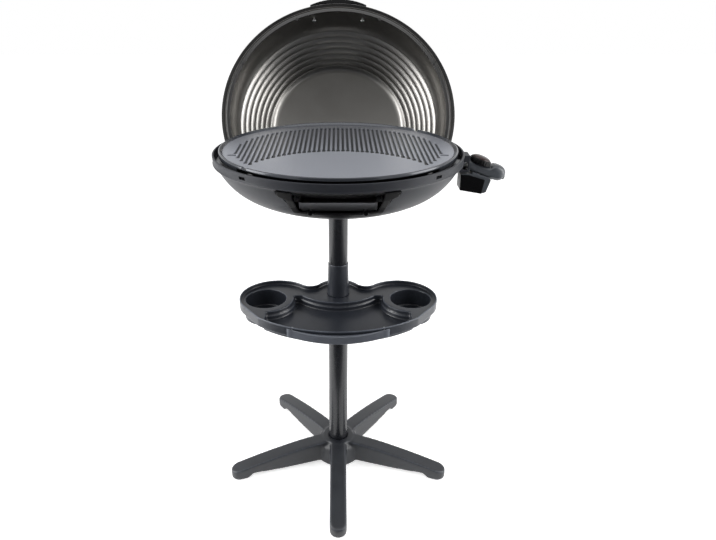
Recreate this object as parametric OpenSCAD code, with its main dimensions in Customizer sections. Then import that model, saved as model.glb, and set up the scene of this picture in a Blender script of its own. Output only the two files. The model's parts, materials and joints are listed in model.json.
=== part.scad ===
// Electric grill with a hinged lid, an oval bowl and a pedestal with a tray.
// Origin: on the floor, on the axis of the pole. +Z up, -Y to the cook, +X to the control.

/* [Foot] */
// Number of legs
leg_count = 5; // [4:1:6]
// Distance from the pole's axis to the end of a leg
leg_reach = 273; // [240:1:320]
// Width of a leg
leg_w = 38; // [32:1:46]
// Height of the arch under a leg
leg_arch = 20; // [12:1:24]
// Height of a leg's top at its end
leg_tip_h = 26; // [24:1:34]
// Height of the hub
hub_h = 66; // [60:1:80]
// Radius of the hub
hub_r = 38; // [34:1:50]
// Radius of a rubber foot pad
pad_r = 13; // [8:0.5:14]
// Height of the legs above the floor
pad_gap = 3; // [2:0.5:6]

/* [Pole] */
// Outer diameter of the lower tube
lower_tube_d = 45; // [40:0.5:52]
// Wall of both tubes
tube_wall = 1.5; // [1:0.1:2.5]
// Length of upper tube that sits inside the lower tube
tube_insert = 70; // [40:1:120]
// Height of the reducer sleeve above the tray
sleeve_h = 76; // [40:1:100]

/* [Tray] */
// Height of the tray's deck above the floor
tray_z = 465; // [380:1:520]
// Height of the tray's raised edge above its deck
tray_rim_h = 10; // [6:1:16]
// Depth of the tray's side wall below its deck
tray_skirt = 12; // [8:1:18]
// Wall of the tray
tray_wall = 3; // [2:0.5:4]
// Distance from the middle of the tray to a cup well
cup_x = 160.5; // [150:0.5:172]
// Radius of a cup well
cup_r = 44.7; // [36:0.1:50]
// Depth of a cup well
cup_depth = 40; // [30:1:60]
// Depth of the utensil well
well_depth = 20; // [12:1:26]
// Distance from the pole's axis to the tray's front edge
tray_front = 190; // [180:1:205]
// Height of the front rail
rail_h = 23; // [16:1:28]

/* [Bowl] */
// Height of the bowl's rim above the floor
rim_z = 793.5; // [740:0.5:860]
// Half the bowl's width, left to right
bowl_a = 255.4; // [245:0.1:265]
// Half the bowl's depth, front to back
bowl_b = 239; // [228:0.5:250]
// Height of the bowl
bowl_h = 118; // [116:0.5:130]
// Height of the upright band below the rim
band_h = 17; // [12:1:18]
// Wall of the bowl
bowl_wall = 3; // [2:0.5:3.5]

/* [Grill plate] */
// Half the plate's width, left to right
plate_a = 242; // [232:0.5:244]
// Half the plate's depth, front to back
plate_b = 229.5; // [215:0.5:232]
// Height of the plate's rim above the bowl's rim
plate_rise = 8.1; // [5:0.1:10]
// Distance from rib to rib
rib_pitch = 9.7; // [7:0.1:14]
// Depth of the grooves between the ribs
groove_depth = 2.4; // [1.5:0.1:4]

/* [Lid] */
// Half the lid's width, left to right
lid_a = 267; // [264:0.5:272]
// Half the lid's depth, front to back
lid_b = 257; // [252:0.5:262]
// Height of the dome inside the lid
lid_h = 165; // [150:1:175]
// From the lid's middle to the straight edge at its rear, which passes under the bowl
lid_rear = 224; // [216:1:240]
// Thickness of the lid's sheet
lid_wall = 1.8; // [1.2:0.1:2.4]
// Angle that the open lid leans back from upright
lid_lean = 26; // [20:1:32]
// Width of the lid's handle
lid_handle_w = 132; // [100:1:160]

/* [Drip tray] */
// Width of the drip tray
drip_w = 144; // [120:1:150]
// Depth of the drip tray from front to back
drip_l = 240; // [180:1:255]
// Height of the drip tray
drip_h = 24; // [16:1:26]

/* [Control] */
// Angle that the control's housing droops
droop = 20; // [10:1:24]
// Length of the control's housing
housing_l = 80; // [72:1:95]
// Width of the control's housing
housing_w = 35; // [32:1:40]
// Diameter of the knob
knob_d = 47; // [38:1:48]
// Length of the temperature probe
probe_l = 62; // [40:1:70]

/* [Hidden] */

charcoal = "#3c3d42";
graphite = "#5a5f66";
black = "#121316";
sheet = "#8d8a84";
steel = "#b9bcc0";
oval_fn = 72;
round_fn = 64;

// Clearances: a fixed fit, a shaft that turns or slides, and a gap at a seat
fit = 0.1;
running = 0.06;
seat = 0.3;
eps = 0.5;

// Foot: length of the slope between the arch and a leg's end, and the hub's underside
arch_ramp = 20;
hub_low = leg_arch - 2;

// Pole
lower_r = lower_tube_d / 2;
upper_r = lower_r - tube_wall - running;
hub_floor = hub_h - 28;
joint_z = tray_z + 11;
socket_l = 45;
socket_roof = 3;
bowl_bottom = rim_z - bowl_h;
pole_top = bowl_bottom + bowl_wall + 23;

// Tray: two lobes with cup wells, a neck round the pole and a bowed front
cup_y = -27;
lobe_r = 81;
lobe_x = cup_x - 24;
well_x = cup_x - 6;
lobe_y = -34;
neck_r = 52;
front_r = 263;
tray_low = tray_z - tray_skirt;
rail_half = 105;
rail_screw_x = rail_half - 12;
rail_head_y = front_r - tray_front - sqrt(pow(front_r - tray_wall, 2) - pow(rail_screw_x + 3, 2));

// Lid: the rim clears the bowl's by lid_gap, and the pins on the bowl's flanks lie where they
// bring the open lid's middle open_y behind and open_rise above the closed one's
lid_gap = 3;
lid_z = rim_z + lid_gap;
open_turn = 90 + lid_lean;
open_y = 186.7;
open_rise = 30.6;
half_chord = sin(open_turn) / (2 * (1 - cos(open_turn)));
pivot_y = open_y / 2 + open_rise * half_chord;
pivot_drop = open_y * half_chord - open_rise / 2;
pivot_z = lid_z - pivot_drop;
flange_share = 0.965;
lip_share = 0.93;
ring_count = 7;
ring_outer = 0.885;
ring_inner = 0.60;
ring_top = lid_h - 85;
ring_end = lid_h - 15;
arm_x = 250.3;
arm_t = 3;
arm_end_r = 12;
pin_r = 4;
stop_r = 4;
handle_low = 32;
handle_t = 16;
handle_reach = lid_b + 25;
handle_screw_x = lid_handle_w / 2 - 9;

// Plate and what lies under it
plate_z = rim_z + plate_rise;
deck_z = plate_z - 4.5;
plate_low = deck_z - 8;
ledge_z = rim_z - 17.5;
groove_w = 4.6;
reflector_t = 1.2;
reflector_low = rim_z - 41;
element_r = 4;
element_ring = 165;
element_z = plate_low - element_r - 1.5;
block_x = element_ring + 28;

// Drip tray
drip_top = reflector_low - 6.3;
drip_low = drip_top - drip_h;
drip_front = -179;
drip_slope = 0.75;
slot_top = rim_z - band_h - 1.5;

// Control: where its nose meets the shroud on the bowl
nose_x = bowl_a + 13;
nose_z = rim_z - 26.5;
box_w = 36;
pin_z = nose_z - 4.5;
pin_y = 8;
probe_z = nose_z - 8;
arm_top = 4;
hump_top = 14;
hump_from = 48;
knob_place = 23;
knob_base = arm_top + seat;
knob_h = 11;
case_screws = [[28, -11], [28, 11], [58, -11], [58, 11]];

// ---------- helpers ----------

// Point at share t of a curve with four control points
function bezier(t, p) = pow(1 - t, 3) * p[0] + 3 * pow(1 - t, 2) * t * p[1]
    + 3 * (1 - t) * t * t * p[2] + pow(t, 3) * p[3];

// Height of an oval's edge at x
function oval_y(x, a, b) = b * sqrt(1 - pow(x / a, 2));

module pipe(r_out, r_in, low, high) {
    translate([0, 0, low]) difference() {
        cylinder(r = r_out, h = high - low, $fn = round_fn);
        translate([0, 0, -eps]) cylinder(r = r_in, h = high - low + 2 * eps, $fn = round_fn);
    }
}

module rod(r, low, high) {
    translate([0, 0, low]) cylinder(r = r, h = high - low, $fn = round_fn);
}

// A rod along +X, between two places on that axis
module rod_x(r, from, to) {
    translate([from, 0, 0]) rotate([0, 90, 0]) cylinder(r = r, h = to - from, $fn = round_fn);
}

// A rod along +Y, between two places on that axis
module rod_y(r, from, to) {
    translate([0, from, 0]) rotate([-90, 0, 0]) cylinder(r = r, h = to - from, $fn = round_fn);
}

// A round bar between two points
module bar(r, from, to) {
    d = to - from;
    translate(from) rotate([0, acos(d[2] / norm(d)), atan2(d[1], d[0])])
        cylinder(r = r, h = norm(d), $fn = 32);
}

module both_sides() {
    children();
    mirror([1, 0, 0]) children();
}

module round_legs() {
    for (i = [0 : leg_count - 1]) rotate([0, 0, -90 + i * 360 / leg_count]) children();
}

// An oval solid: a profile of [radius, height] pairs turned, then drawn in from front to back
module oval_turn(profile, a, b) {
    scale([1, b / a, 1]) rotate_extrude($fn = oval_fn) polygon(profile);
}

module oval_2d(a, b, n = 96) {
    scale([1, b / a]) circle(r = a, $fn = n);
}

// ---------- stand ----------

function leg_top(r) = hub_h - 3 - (hub_h - 3 - leg_tip_h)
    * pow(max(0, r - hub_r) / (leg_reach - hub_r), 1.5);

module leg() {
    steps = 14;
    tip_from = leg_reach - leg_w;
    top = [for (i = [0 : steps]) let (r = leg_reach * i / steps) [r, leg_top(r)]];
    intersection() {
        rotate([90, 0, 0]) linear_extrude(leg_w, center = true)
            polygon(concat(top, [[leg_reach + 1, leg_tip_h], [leg_reach + 1, pad_gap], [tip_from, pad_gap],
                [tip_from - arch_ramp, leg_arch], [0, leg_arch]]));
        linear_extrude(hub_h) {
            translate([0, -leg_w / 2]) square([leg_reach - leg_w / 2, leg_w]);
            translate([leg_reach - leg_w / 2, 0]) circle(r = leg_w / 2, $fn = round_fn);
        }
    }
}

module star_foot() {
    color(charcoal) difference() {
        union() {
            round_legs() leg();
            rod(hub_r, hub_low, hub_h);
        }
        rod(lower_r + fit, hub_floor, hub_h + eps);
        rod(5.4, 0, hub_floor + eps);
        round_legs() translate([leg_reach - leg_w / 2, 0, 0]) rod(pad_r + fit, 0, 2 * pad_gap);
    }
}

module foot_pads() {
    color(black) round_legs() translate([leg_reach - leg_w / 2, 0, 0]) rod(pad_r, 0, 2 * pad_gap);
}

module hub_washer() {
    color(steel) pipe(15, 5.4, hub_low - 2, hub_low);
}

module hub_bolt() {
    head = hub_low - 2;
    color(steel) {
        translate([0, 0, head - 7]) cylinder(r = 9, h = 7, $fn = 6);
        rod(5, head - eps, hub_floor + 26);
    }
}

module tube_plug() {
    color(steel) pipe(lower_r - tube_wall - fit, 5 + fit, hub_floor + seat, hub_floor + 30);
}

module lower_tube() {
    color(charcoal) pipe(lower_r, lower_r - tube_wall, hub_floor, joint_z);
}

module upper_tube() {
    color(charcoal) pipe(upper_r, upper_r - tube_wall, joint_z - tube_insert, pole_top);
}

module tube_sleeve() {
    top_r = upper_r + 1.4;
    color(charcoal) difference() {
        translate([0, 0, tray_z]) cylinder(r1 = lower_r + 1.7, r2 = top_r, h = sleeve_h, $fn = round_fn);
        rod(lower_r + fit, tray_z - eps, joint_z);
        rod(upper_r + fit, joint_z - eps, tray_z + sleeve_h + eps);
    }
}

module tray_collar() {
    color(charcoal) difference() {
        pipe(lower_r + 9, lower_r + fit, tray_low - 30, tray_low - 8);
        translate([0, 0, tray_low - 19]) rod_y(2.5 + fit, lower_r, lower_r + 20);
    }
}

module collar_screw() {
    color(steel) translate([0, 0, tray_low - 19]) {
        rod_y(2.5, lower_r, lower_r + 10);
        rod_y(5, lower_r + 9, lower_r + 13);
    }
}

// Outline of the whole tray
module tray_outline() {
    offset(r = -24, $fn = 64) offset(r = 24, $fn = 64) union() {
        for (side = [-1, 1]) translate([side * lobe_x, lobe_y]) circle(r = lobe_r, $fn = 96);
        circle(r = neck_r, $fn = 64);
        intersection() {
            hull() {
                for (side = [-1, 1]) translate([side * lobe_x, lobe_y]) circle(r = lobe_r, $fn = 96);
                front_bow();
            }
            translate([-lobe_x - lobe_r, -tray_front]) square([2 * lobe_x + 2 * lobe_r, tray_front + lobe_y]);
        }
    }
}

module front_bow() {
    intersection() {
        translate([0, front_r - tray_front]) circle(r = front_r, $fn = 160);
        translate([-lobe_x - 30, -tray_front]) square([2 * lobe_x + 60, tray_front]);
    }
}

// Outline of the utensil well: inside the rim, clear of the cups and of the pole's neck
module well_outline(inset) {
    offset(r = 6, $fn = 32) offset(r = -6) difference() {
        intersection() {
            offset(r = -13 - inset) tray_outline();
            translate([-well_x, -tray_front]) square([2 * well_x, tray_front - 12]);
        }
        for (side = [-1, 1]) translate([side * cup_x, cup_y]) circle(r = cup_r + 17 + inset, $fn = 64);
        translate([0, 60]) circle(r = 108 + inset, $fn = 96);
    }
}

module tray() {
    floor_z = tray_z - well_depth;
    color(charcoal) difference() {
        union() {
            translate([0, 0, tray_low]) linear_extrude(tray_skirt + tray_rim_h) difference() {
                tray_outline();
                offset(r = -tray_wall) tray_outline();
            }
            translate([0, 0, tray_z - tray_wall]) linear_extrude(tray_wall) tray_outline();
            translate([0, 0, floor_z - tray_wall]) linear_extrude(well_depth)
                offset(r = tray_wall) well_outline(0);
            for (side = [-1, 1]) translate([side * cup_x, cup_y, 0])
                rod(cup_r + tray_wall, tray_z - cup_depth - tray_wall, tray_z);
            rod(lower_r + 8, tray_low - 8, tray_z - eps);
        }
        translate([0, 0, tray_z - well_depth / 2]) linear_extrude(well_depth) well_outline(0);
        translate([0, 0, floor_z]) linear_extrude(well_depth) well_outline(tray_wall);
        for (side = [-1, 1]) translate([side * cup_x, cup_y, 0])
            rod(cup_r, tray_z - cup_depth, tray_z + eps);
        rod(lower_r + 1.7 + seat, tray_z - 2, tray_z + eps);
        rod(lower_r + fit, 0, tray_z);
        at_rail_screws() rod_y(1.5 + fit, -tray_front - 20, -tray_front + 40);
    }
}

module at_rail_screws() {
    both_sides() translate([rail_screw_x, 0, tray_z + 5]) children();
}

// Bowed grip in front of the tray
module tray_front_rail() {
    bow_r = 176;
    color(graphite) difference() {
        translate([0, 0, tray_z + tray_rim_h - rail_h]) linear_extrude(rail_h) intersection() {
            difference() {
                translate([0, bow_r - tray_front - 12]) circle(r = bow_r, $fn = 128);
                offset(delta = seat) tray_outline();
            }
            translate([-rail_half, -tray_front - 20]) square([2 * rail_half, 90]);
        }
        at_rail_screws() rod_y(1.5 + fit, rail_head_y - 5.7, rail_head_y);
    }
}

module tray_rail_screws() {
    color(steel) at_rail_screws() {
        rod_y(1.5, rail_head_y - 5.5, rail_head_y + 0.5);
        rod_y(3, rail_head_y, rail_head_y + 2);
    }
}

// ---------- bowl ----------

// Outside of the bowl, from the rim down, as [radius, height]
function flank(t) = bezier(t, [[bowl_a - 6.4, rim_z - band_h - 2], [bowl_a - 32, rim_z - 70],
    [bowl_a - 62, bowl_bottom + 20], [bowl_a - 193, bowl_bottom]]);
bowl_profile = concat([[bowl_a, rim_z - 1], [bowl_a - 1.5, rim_z - band_h]],
    [for (i = [0 : 8]) flank(i / 8)]);

module bowl_solid(grow = 0, high = rim_z) {
    profile = concat([[0, high], [bowl_a + grow - 1, high]],
        [for (p = bowl_profile) [p[0] + grow, p[1]]],
        [[0, bowl_bottom - max(0, grow)]]);
    oval_turn(profile, bowl_a, bowl_b);
}

// Inside of the bowl: the wall is thicker below the ledge that carries the reflector
module bowl_hollow() {
    inner = [for (p = bowl_profile) [p[0] - bowl_wall - (p[1] < ledge_z ? 2 : 0), p[1] + bowl_wall]];
    low = [for (p = inner) if (p[1] < ledge_z - 4) p];
    oval_turn(concat([[0, rim_z + 1], [bowl_a - 4.2, rim_z + 1], [bowl_a - 4.7, ledge_z],
        [bowl_a - 18, ledge_z], [bowl_a - 18, ledge_z - 4]], low, [[0, bowl_bottom + bowl_wall]]),
        bowl_a, bowl_b);
}

// Front view of the slot that the drip tray runs in
slot_outline = [[-114, slot_top], [-110, slot_top - 14], [-95, slot_top - 20],
    [-82, drip_low - 4], [82, drip_low - 4], [95, slot_top - 20], [110, slot_top - 14], [114, slot_top]];

module bowl() {
    color(graphite) difference() {
        bowl_solid();
        bowl_hollow();
        translate([0, -100, 0]) rotate([90, 0, 0]) linear_extrude(200) polygon(slot_outline);
        rod(27.3, bowl_bottom - 1, bowl_bottom + bowl_wall + 1);
        for (a = [45 : 90 : 315]) rotate([0, 0, a]) translate([40, 0, 0])
            rod(2.2, bowl_bottom - 1, bowl_bottom + bowl_wall + 1);
        translate([bowl_a - 35, -15, nose_z - 13]) cube([60, 30, 26]);
        for (a = [-135, -42]) rotate([0, 0, a]) translate([200, -8, rim_z - band_h + 5]) cube([70, 16, 6]);
        both_sides() for (dz = [-6, 6]) translate([0, pivot_y, pivot_z + dz]) rod_x(1.6, 150, 240);
    }
}

module head_socket() {
    color(charcoal) difference() {
        union() {
            rod(27, bowl_bottom + bowl_wall + 26 - socket_l, bowl_bottom + bowl_wall + 26);
            rod(50, bowl_bottom + bowl_wall, bowl_bottom + bowl_wall + 3);
        }
        rod(upper_r + running, 0, pole_top + seat / 3);
        for (a = [45 : 90 : 315]) rotate([0, 0, a]) translate([40, 0, 0]) rod(2.2, 600, rim_z);
    }
}

module socket_screws() {
    color(steel) for (a = [45 : 90 : 315]) rotate([0, 0, a]) translate([40, 0, 0]) {
        rod(2.1, bowl_bottom - 2, bowl_bottom + bowl_wall + 3.5);
        rod(4.5, bowl_bottom + bowl_wall + 3, bowl_bottom + bowl_wall + 5.5);
        rod(4, bowl_bottom - 3, bowl_bottom);
    }
}

// A steel dish that hangs on the bowl's ledge and throws the heat up at the plate
module heat_reflector() {
    t = reflector_t;
    lip_a = bowl_a - 6;
    dish_a = bowl_a - 36;
    top = ledge_z + t;
    floor_a = dish_a - 16;
    color(steel) difference() {
        oval_turn([[0, reflector_low], [floor_a, reflector_low], [dish_a, reflector_low + 10],
            [dish_a + 4, ledge_z], [lip_a, ledge_z], [lip_a, top], [dish_a + 4 - t, top],
            [dish_a - t, reflector_low + 10 + t], [floor_a - t, reflector_low + t],
            [0, reflector_low + t]], bowl_a, bowl_b);
        translate([0, 0, reflector_low - 1]) linear_extrude(5) oval_2d(52, 96, 48);
        translate([bowl_a - 62, -16, nose_z - 13]) cube([90, 32, 60]);
    }
}

// Tubular element: one open loop with its two ends at the terminals
module heating_element() {
    gap_angle = 8;
    end = [element_ring * cos(gap_angle), element_ring * sin(gap_angle), 0];
    knee = [end[0] + 24, 8, -6];
    color(black) translate([0, 0, element_z]) {
        resize([0, 0, 2 * element_r]) rotate([0, 0, gap_angle])
            rotate_extrude(angle = 360 - 2 * gap_angle, $fn = 80)
                translate([element_ring, 0]) circle(r = element_r, $fn = 14);
        for (side = [0, 1]) mirror([0, side, 0]) {
            translate(end) sphere(r = element_r + 0.4, $fn = 12);
            bar(element_r, end, knee);
            translate(knee) sphere(r = element_r + 0.4, $fn = 12);
            bar(element_r, knee, [block_x + 5, 8, -6]);
        }
    }
}

module element_clips() {
    foot = reflector_low + reflector_t;
    color(steel) for (a = [60, 120, 180, 240, 300]) rotate([0, 0, a]) difference() {
        union() {
            translate([element_ring - 8, -6, foot]) cube([16, 12, 1.5]);
            translate([element_ring - 8, -1.5, foot]) cube([16, 3, element_z - foot]);
        }
        translate([0, 0, element_z]) rotate_extrude($fn = 96)
            translate([element_ring, 0]) circle(r = element_r + 2 * fit, $fn = 32);
    }
}

module terminal_block() {
    from = block_x;
    color(black) difference() {
        translate([from, -14, nose_z - 12]) cube([nose_x - 24 - from, 28, 24]);
        for (s = [-1, 1]) translate([0, s * pin_y, pin_z]) rod_x(2 + fit, nose_x - 34, nose_x);
        translate([0, 0, probe_z]) rod_x(3.2, 0, nose_x);
        for (side = [-1, 1]) translate([0, side * 8, element_z - 6]) rod_x(element_r + 0.6, 0, from + 6);
    }
}

module terminal_pins() {
    color(steel) for (s = [-1, 1]) translate([0, s * pin_y, pin_z]) rod_x(2, nose_x - 34, nose_x + 10);
}

// Square collar on the bowl's side that the control's nose meets
module terminal_shroud() {
    from = bowl_a - 7;
    low = nose_z - 17;
    color(graphite) difference() {
        translate([from, -17, low]) cube([nose_x - seat - from, 34, 35]);
        translate([from - 1, -14, low + 3]) cube([30, 28, 29]);
        translate([from + 6, -20, low + 6]) cube([nose_x - from - 10, 10, 15]);
        bowl_solid(0.1);
    }
}

module drip_rails() {
    x = drip_w / 2 + 7;
    color(steel) both_sides() {
        translate([x, drip_front - 4, drip_top - 3.3]) cube([1.5, drip_l - 8, reflector_low - drip_top + 3.3]);
        translate([x - 5.5, drip_front - 4, drip_top - 3.3]) cube([7, drip_l - 8, 1.5]);
    }
}

// ---------- hinge on the bowl's flanks ----------

// A stop touches the rear edge of the open lid's arm, stop_up from the pin along that edge
stop_up = 25;
stop_off = arm_end_r + stop_r + seat;
stop_y = pivot_y + stop_off * cos(open_turn) + stop_up * sin(open_turn);
stop_z = pivot_z - stop_off * sin(open_turn) + stop_up * cos(open_turn);

module hinge_bracket() {
    face = arm_x - seat;
    difference() {
        union() {
            translate([190, pivot_y - 11, pivot_z - 11]) cube([face - 3 - 190, 22, 22]);
            translate([0, pivot_y, pivot_z]) rod_x(11, face - 4, face);
            translate([face - 4, pivot_y - 11, stop_z - 6]) cube([4, stop_y + 17 - pivot_y, pivot_z - stop_z + 6]);
        }
        translate([0, pivot_y, pivot_z]) rod_x(pin_r + fit, 225, face + 1);
        translate([0, stop_y, stop_z]) rod_x(2.5 + fit, face - 5, face + 1);
        for (dz = [-6, 6]) translate([0, pivot_y, pivot_z + dz]) rod_x(1.6, 150, 222);
        bowl_solid(0.1);
    }
}

module hinge_bracket_right() {
    color(charcoal) hinge_bracket();
}

module hinge_bracket_left() {
    color(charcoal) mirror([1, 0, 0]) hinge_bracket();
}

module hinge_bracket_screws() {
    color(steel) both_sides() for (dz = [-6, 6]) translate([0, pivot_y, pivot_z + dz])
        rod_x(1.5, 196, 221);
}

module hinge_pins() {
    color(steel) both_sides() translate([0, pivot_y, pivot_z]) {
        rod_x(pin_r, 226, arm_x + arm_t + 1);
        rod_x(7, arm_x + arm_t + seat, arm_x + arm_t + 3);
    }
}

module lid_stops() {
    color(steel) both_sides() translate([0, stop_y, stop_z]) {
        rod_x(2.5, arm_x - seat - 4, arm_x + 0.2);
        rod_x(stop_r, arm_x - seat, arm_x + arm_t + 1);
    }
}

// ---------- grill plate ----------

// Grooves between the ribs: they run from the smooth half-moon at the front to the back
module rib_grooves() {
    half = plate_a - 33;
    moon_r = 183;
    moon_y = 22.5 - plate_b;
    count = floor((half - 5) / rib_pitch);
    for (i = [-count : count]) {
        x = i * rib_pitch;
        moon = abs(x) < moon_r ? moon_y + sqrt(pow(moon_r, 2) - x * x) : -plate_b;
        front = max(moon, -oval_y(x, half, plate_b - 14.5));
        translate([x - groove_w / 2, front, 0]) cube([groove_w, oval_y(x, half, plate_b - 40.5) - front, 9]);
        translate([x, front, 0]) cylinder(r = groove_w / 2 + 0.3, h = 9, $fn = 24);
    }
}

// An upright oval slab, inset from the plate's outline
module plate_slab(inset, low, high) {
    translate([0, 0, low]) linear_extrude(high - low) oval_2d(plate_a - inset, plate_b - inset);
}

module grill_plate() {
    color(graphite) difference() {
        union() {
            plate_slab(2, plate_low - 2, plate_low + 1);
            plate_slab(0, plate_low, plate_z - 1.5);
            plate_slab(1.2, plate_z - 2, plate_z);
            for (i = [45 : 90 : 315]) rotate([0, 0, i]) translate([plate_b - 7, 0, 0])
                rod(4, ledge_z + reflector_t + seat, plate_low);
        }
        difference() {
            plate_slab(10, plate_low - 3, plate_low);
            for (i = [45 : 90 : 315]) rotate([0, 0, i]) translate([plate_b - 7, 0, 0]) rod(4, 0, plate_z);
        }
        plate_slab(9, deck_z, plate_z + 1);
        plate_slab(6.5, deck_z + 1.8, plate_z + 1);
        plate_slab(4, plate_z - 1.4, plate_z + 1);
        translate([0, 0, deck_z - groove_depth]) rib_grooves();
        for (s = [-1, 1]) translate([s * 208 - 9, -60, plate_low - 1]) cube([18, 5, 20]);
        for (p = [[-175, -166], [166, 145]]) translate([p[0], p[1], deck_z]) rotate([0, 0, atan2(p[1], p[0])])
            translate([-14, -7, 0.1]) cube([40, 14, 20]);
    }
}

// ---------- drip tray ----------

module drip_prism(inset, low, high) {
    y_low = drip_front - (low - drip_low) * drip_slope + inset;
    y_high = drip_front - (high - drip_low) * drip_slope + inset;
    back = drip_front + drip_l - inset;
    half = drip_w / 2 - inset;
    rotate([90, 0, 90]) linear_extrude(2 * half, center = true)
        polygon([[y_low, low], [back, low], [back, high], [y_high, high]]);
}

module at_drip_screws() {
    for (s = [-1, 1]) translate([s * 50, 0, drip_low + 7]) children();
}

module drip_tray() {
    wall = 1.2;
    color(sheet) {
        difference() {
            drip_prism(0, drip_low, drip_top);
            drip_prism(wall, drip_low + wall, drip_top + 1);
            at_drip_screws() rod_y(2 + fit, drip_front - 20, drip_front + 5);
        }
        both_sides() translate([drip_w / 2 - eps, drip_front, drip_top - 1.5])
            cube([6, drip_l, 1.5]);
    }
}

handle_outer = [[-111, slot_top - 1], [-107, slot_top - 13], [-93, slot_top - 18],
    [-80, drip_low - 2], [-75, drip_low - 6], [75, drip_low - 6], [80, drip_low - 2],
    [93, slot_top - 18], [107, slot_top - 13], [111, slot_top - 1]];
handle_inner = [[-82, slot_top + 1], [-80, slot_top - 16], [-71, drip_low + 7.5],
    [71, drip_low + 7.5], [80, slot_top - 16], [82, slot_top + 1]];

// A dark U-shaped grip that follows the bowl's front
module drip_tray_handle() {
    color(black) difference() {
        union() {
            intersection() {
                translate([0, -100, 0]) rotate([90, 0, 0]) linear_extrude(200) difference() {
                    polygon(handle_outer);
                    polygon(handle_inner);
                }
                difference() {
                    bowl_solid(7, rim_z);
                    bowl_solid(0.5, rim_z + 1);
                }
            }
            at_drip_screws() rod_y(4.5, drip_front - 27, drip_front);
        }
        drip_prism(-seat, drip_low - 1, drip_top + 4);
        at_drip_screws() rod_y(2 + fit, drip_front - 11, drip_front);
    }
}

module drip_tray_screws() {
    color(steel) at_drip_screws() {
        rod_y(2, drip_front - 10, drip_front);
        rod_y(4, drip_front - 0.8, drip_front + 1.7);
    }
}

// ---------- lid ----------

// Inside of the dome from the rim to the middle, as [share of the half width, depth]
ring_step = (ring_outer - ring_inner) / ring_count;
ring_rise = (ring_end - ring_top) / ring_count;
lid_wall_curve = [for (i = [0 : 5]) bezier(i / 5, [[flange_share, 2], [0.962, ring_top / 2],
    [0.93, ring_top - 14], [ring_outer, ring_top]])];
lid_rings = [for (i = [0 : ring_count - 1])
    each [[ring_outer - (i + 0.25) * ring_step, ring_top + (i + 0.08) * ring_rise],
        [ring_outer - (i + 1) * ring_step, ring_top + (i + 1) * ring_rise]]];
lid_crown = [for (i = [1 : 5]) let (s = 1 - i / 5)
    [ring_inner * s, lid_h - (lid_h - ring_end) * s * s]];
lid_inside = concat([[flange_share, 0]], lid_wall_curve, lid_rings, lid_crown);
lid_outside = concat([[1, lid_wall], [flange_share, lid_wall + 0.6]],
    [for (p = lid_wall_curve) if (p[1] > 5) [p[0], p[1] + lid_wall]],
    [for (i = [1 : 2 : 2 * ring_count - 1]) [lid_rings[i][0], lid_rings[i][1] + lid_wall + 1]],
    [for (p = lid_crown) [p[0], p[1] + lid_wall + 0.6]]);

// Outside of the sheet from the middle to the rim, as [radius, depth]
lid_outer = [for (i = [len(lid_outside) - 1 : -1 : 0]) let (p = lid_outside[i])
    [p[0] * lid_a + (p[0] > 0.05 && p[0] < 1 ? lid_wall * 0.8 : 0), p[1]]];

module place_lid() {
    translate([0, pivot_y, pivot_z]) rotate([-open_turn, 0, 0]) translate([0, -pivot_y, pivot_drop]) children();
}

module lid_shell() {
    inner = [for (p = lid_inside) [p[0] * lid_a, p[1]]];
    color(sheet) place_lid() difference() {
        oval_turn(concat([[lid_a, 0]], inner, lid_outer), lid_a, lid_b);
        translate([-lid_a, lid_rear, -1]) cube([2 * lid_a, lid_b, lid_h]);
        at_handle_screws() rod_y(2.5, -lid_b, -lid_b + 60);
        both_sides() for (p = rivet_places) translate([0, p[0], p[1]]) rod_x(2.5, 200, 260);
    }
}

// Inner lip on the front of the lid: it sends drips back to the plate
module lid_drip_lip() {
    edge = flange_share * lid_a - 0.7;
    color(sheet) place_lid() difference() {
        oval_turn([[lip_share * lid_a, 0], [edge, 0], [edge, 4.5], [edge - 1.5, 4.5], [edge - 1.5, 1.6],
            [lip_share * lid_a, 1.6]], lid_a, lid_b);
        translate([-lid_a, 72, -10]) cube([2 * lid_a, lid_b, 40]);
    }
}

module lid_bumpers() {
    color(black) place_lid() for (a = [-150, -112, -68, -30])
        translate([(bowl_a - 2.6) * cos(a), (bowl_b - 2.6) * sin(a), seat - lid_gap])
            cylinder(r = 3, h = lid_gap - seat, $fn = 32);
}

module at_handle_screws() {
    for (s = [-1, 1]) translate([s * handle_screw_x, 0, handle_low + handle_t / 2]) children();
}

// A flat U-shaped grip whose two feet stand on the outside of the lid's front
module lid_handle() {
    half = lid_handle_w / 2;
    color(black) place_lid() difference() {
        translate([0, 0, handle_low]) linear_extrude(handle_t) difference() {
            intersection() {
                offset(r = 12, $fn = 48) translate([-half + 12, -handle_reach + 12])
                    square([2 * half - 24, 80]);
                oval_2d(half * 3.2, handle_reach);
            }
            offset(r = 8, $fn = 48) translate([-half + 26, -handle_reach + 20]) square([2 * half - 52, 80]);
        }
        oval_turn(concat([[0, 0]], [for (p = lid_outer) [p[0] + (p[0] > 1 ? 0.15 : 0), p[1]]]), lid_a, lid_b);
        at_handle_screws() rod_y(2.5, -lid_b - 8, -lid_b + 60);
    }
}

module lid_handle_screws() {
    head_y = oval_y(handle_screw_x + 5, lid_a * 0.938, lid_b * 0.938);
    color(steel) place_lid() at_handle_screws() {
        rod_y(2.4, -head_y - 25, -head_y + 1);
        rod_y(5, -head_y, -head_y + 2.5);
    }
}

// Rivets of an arm, as [y, height above the rim]
rivet_places = [[pivot_y - 4, 9], [pivot_y + 4, 20]];

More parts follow.
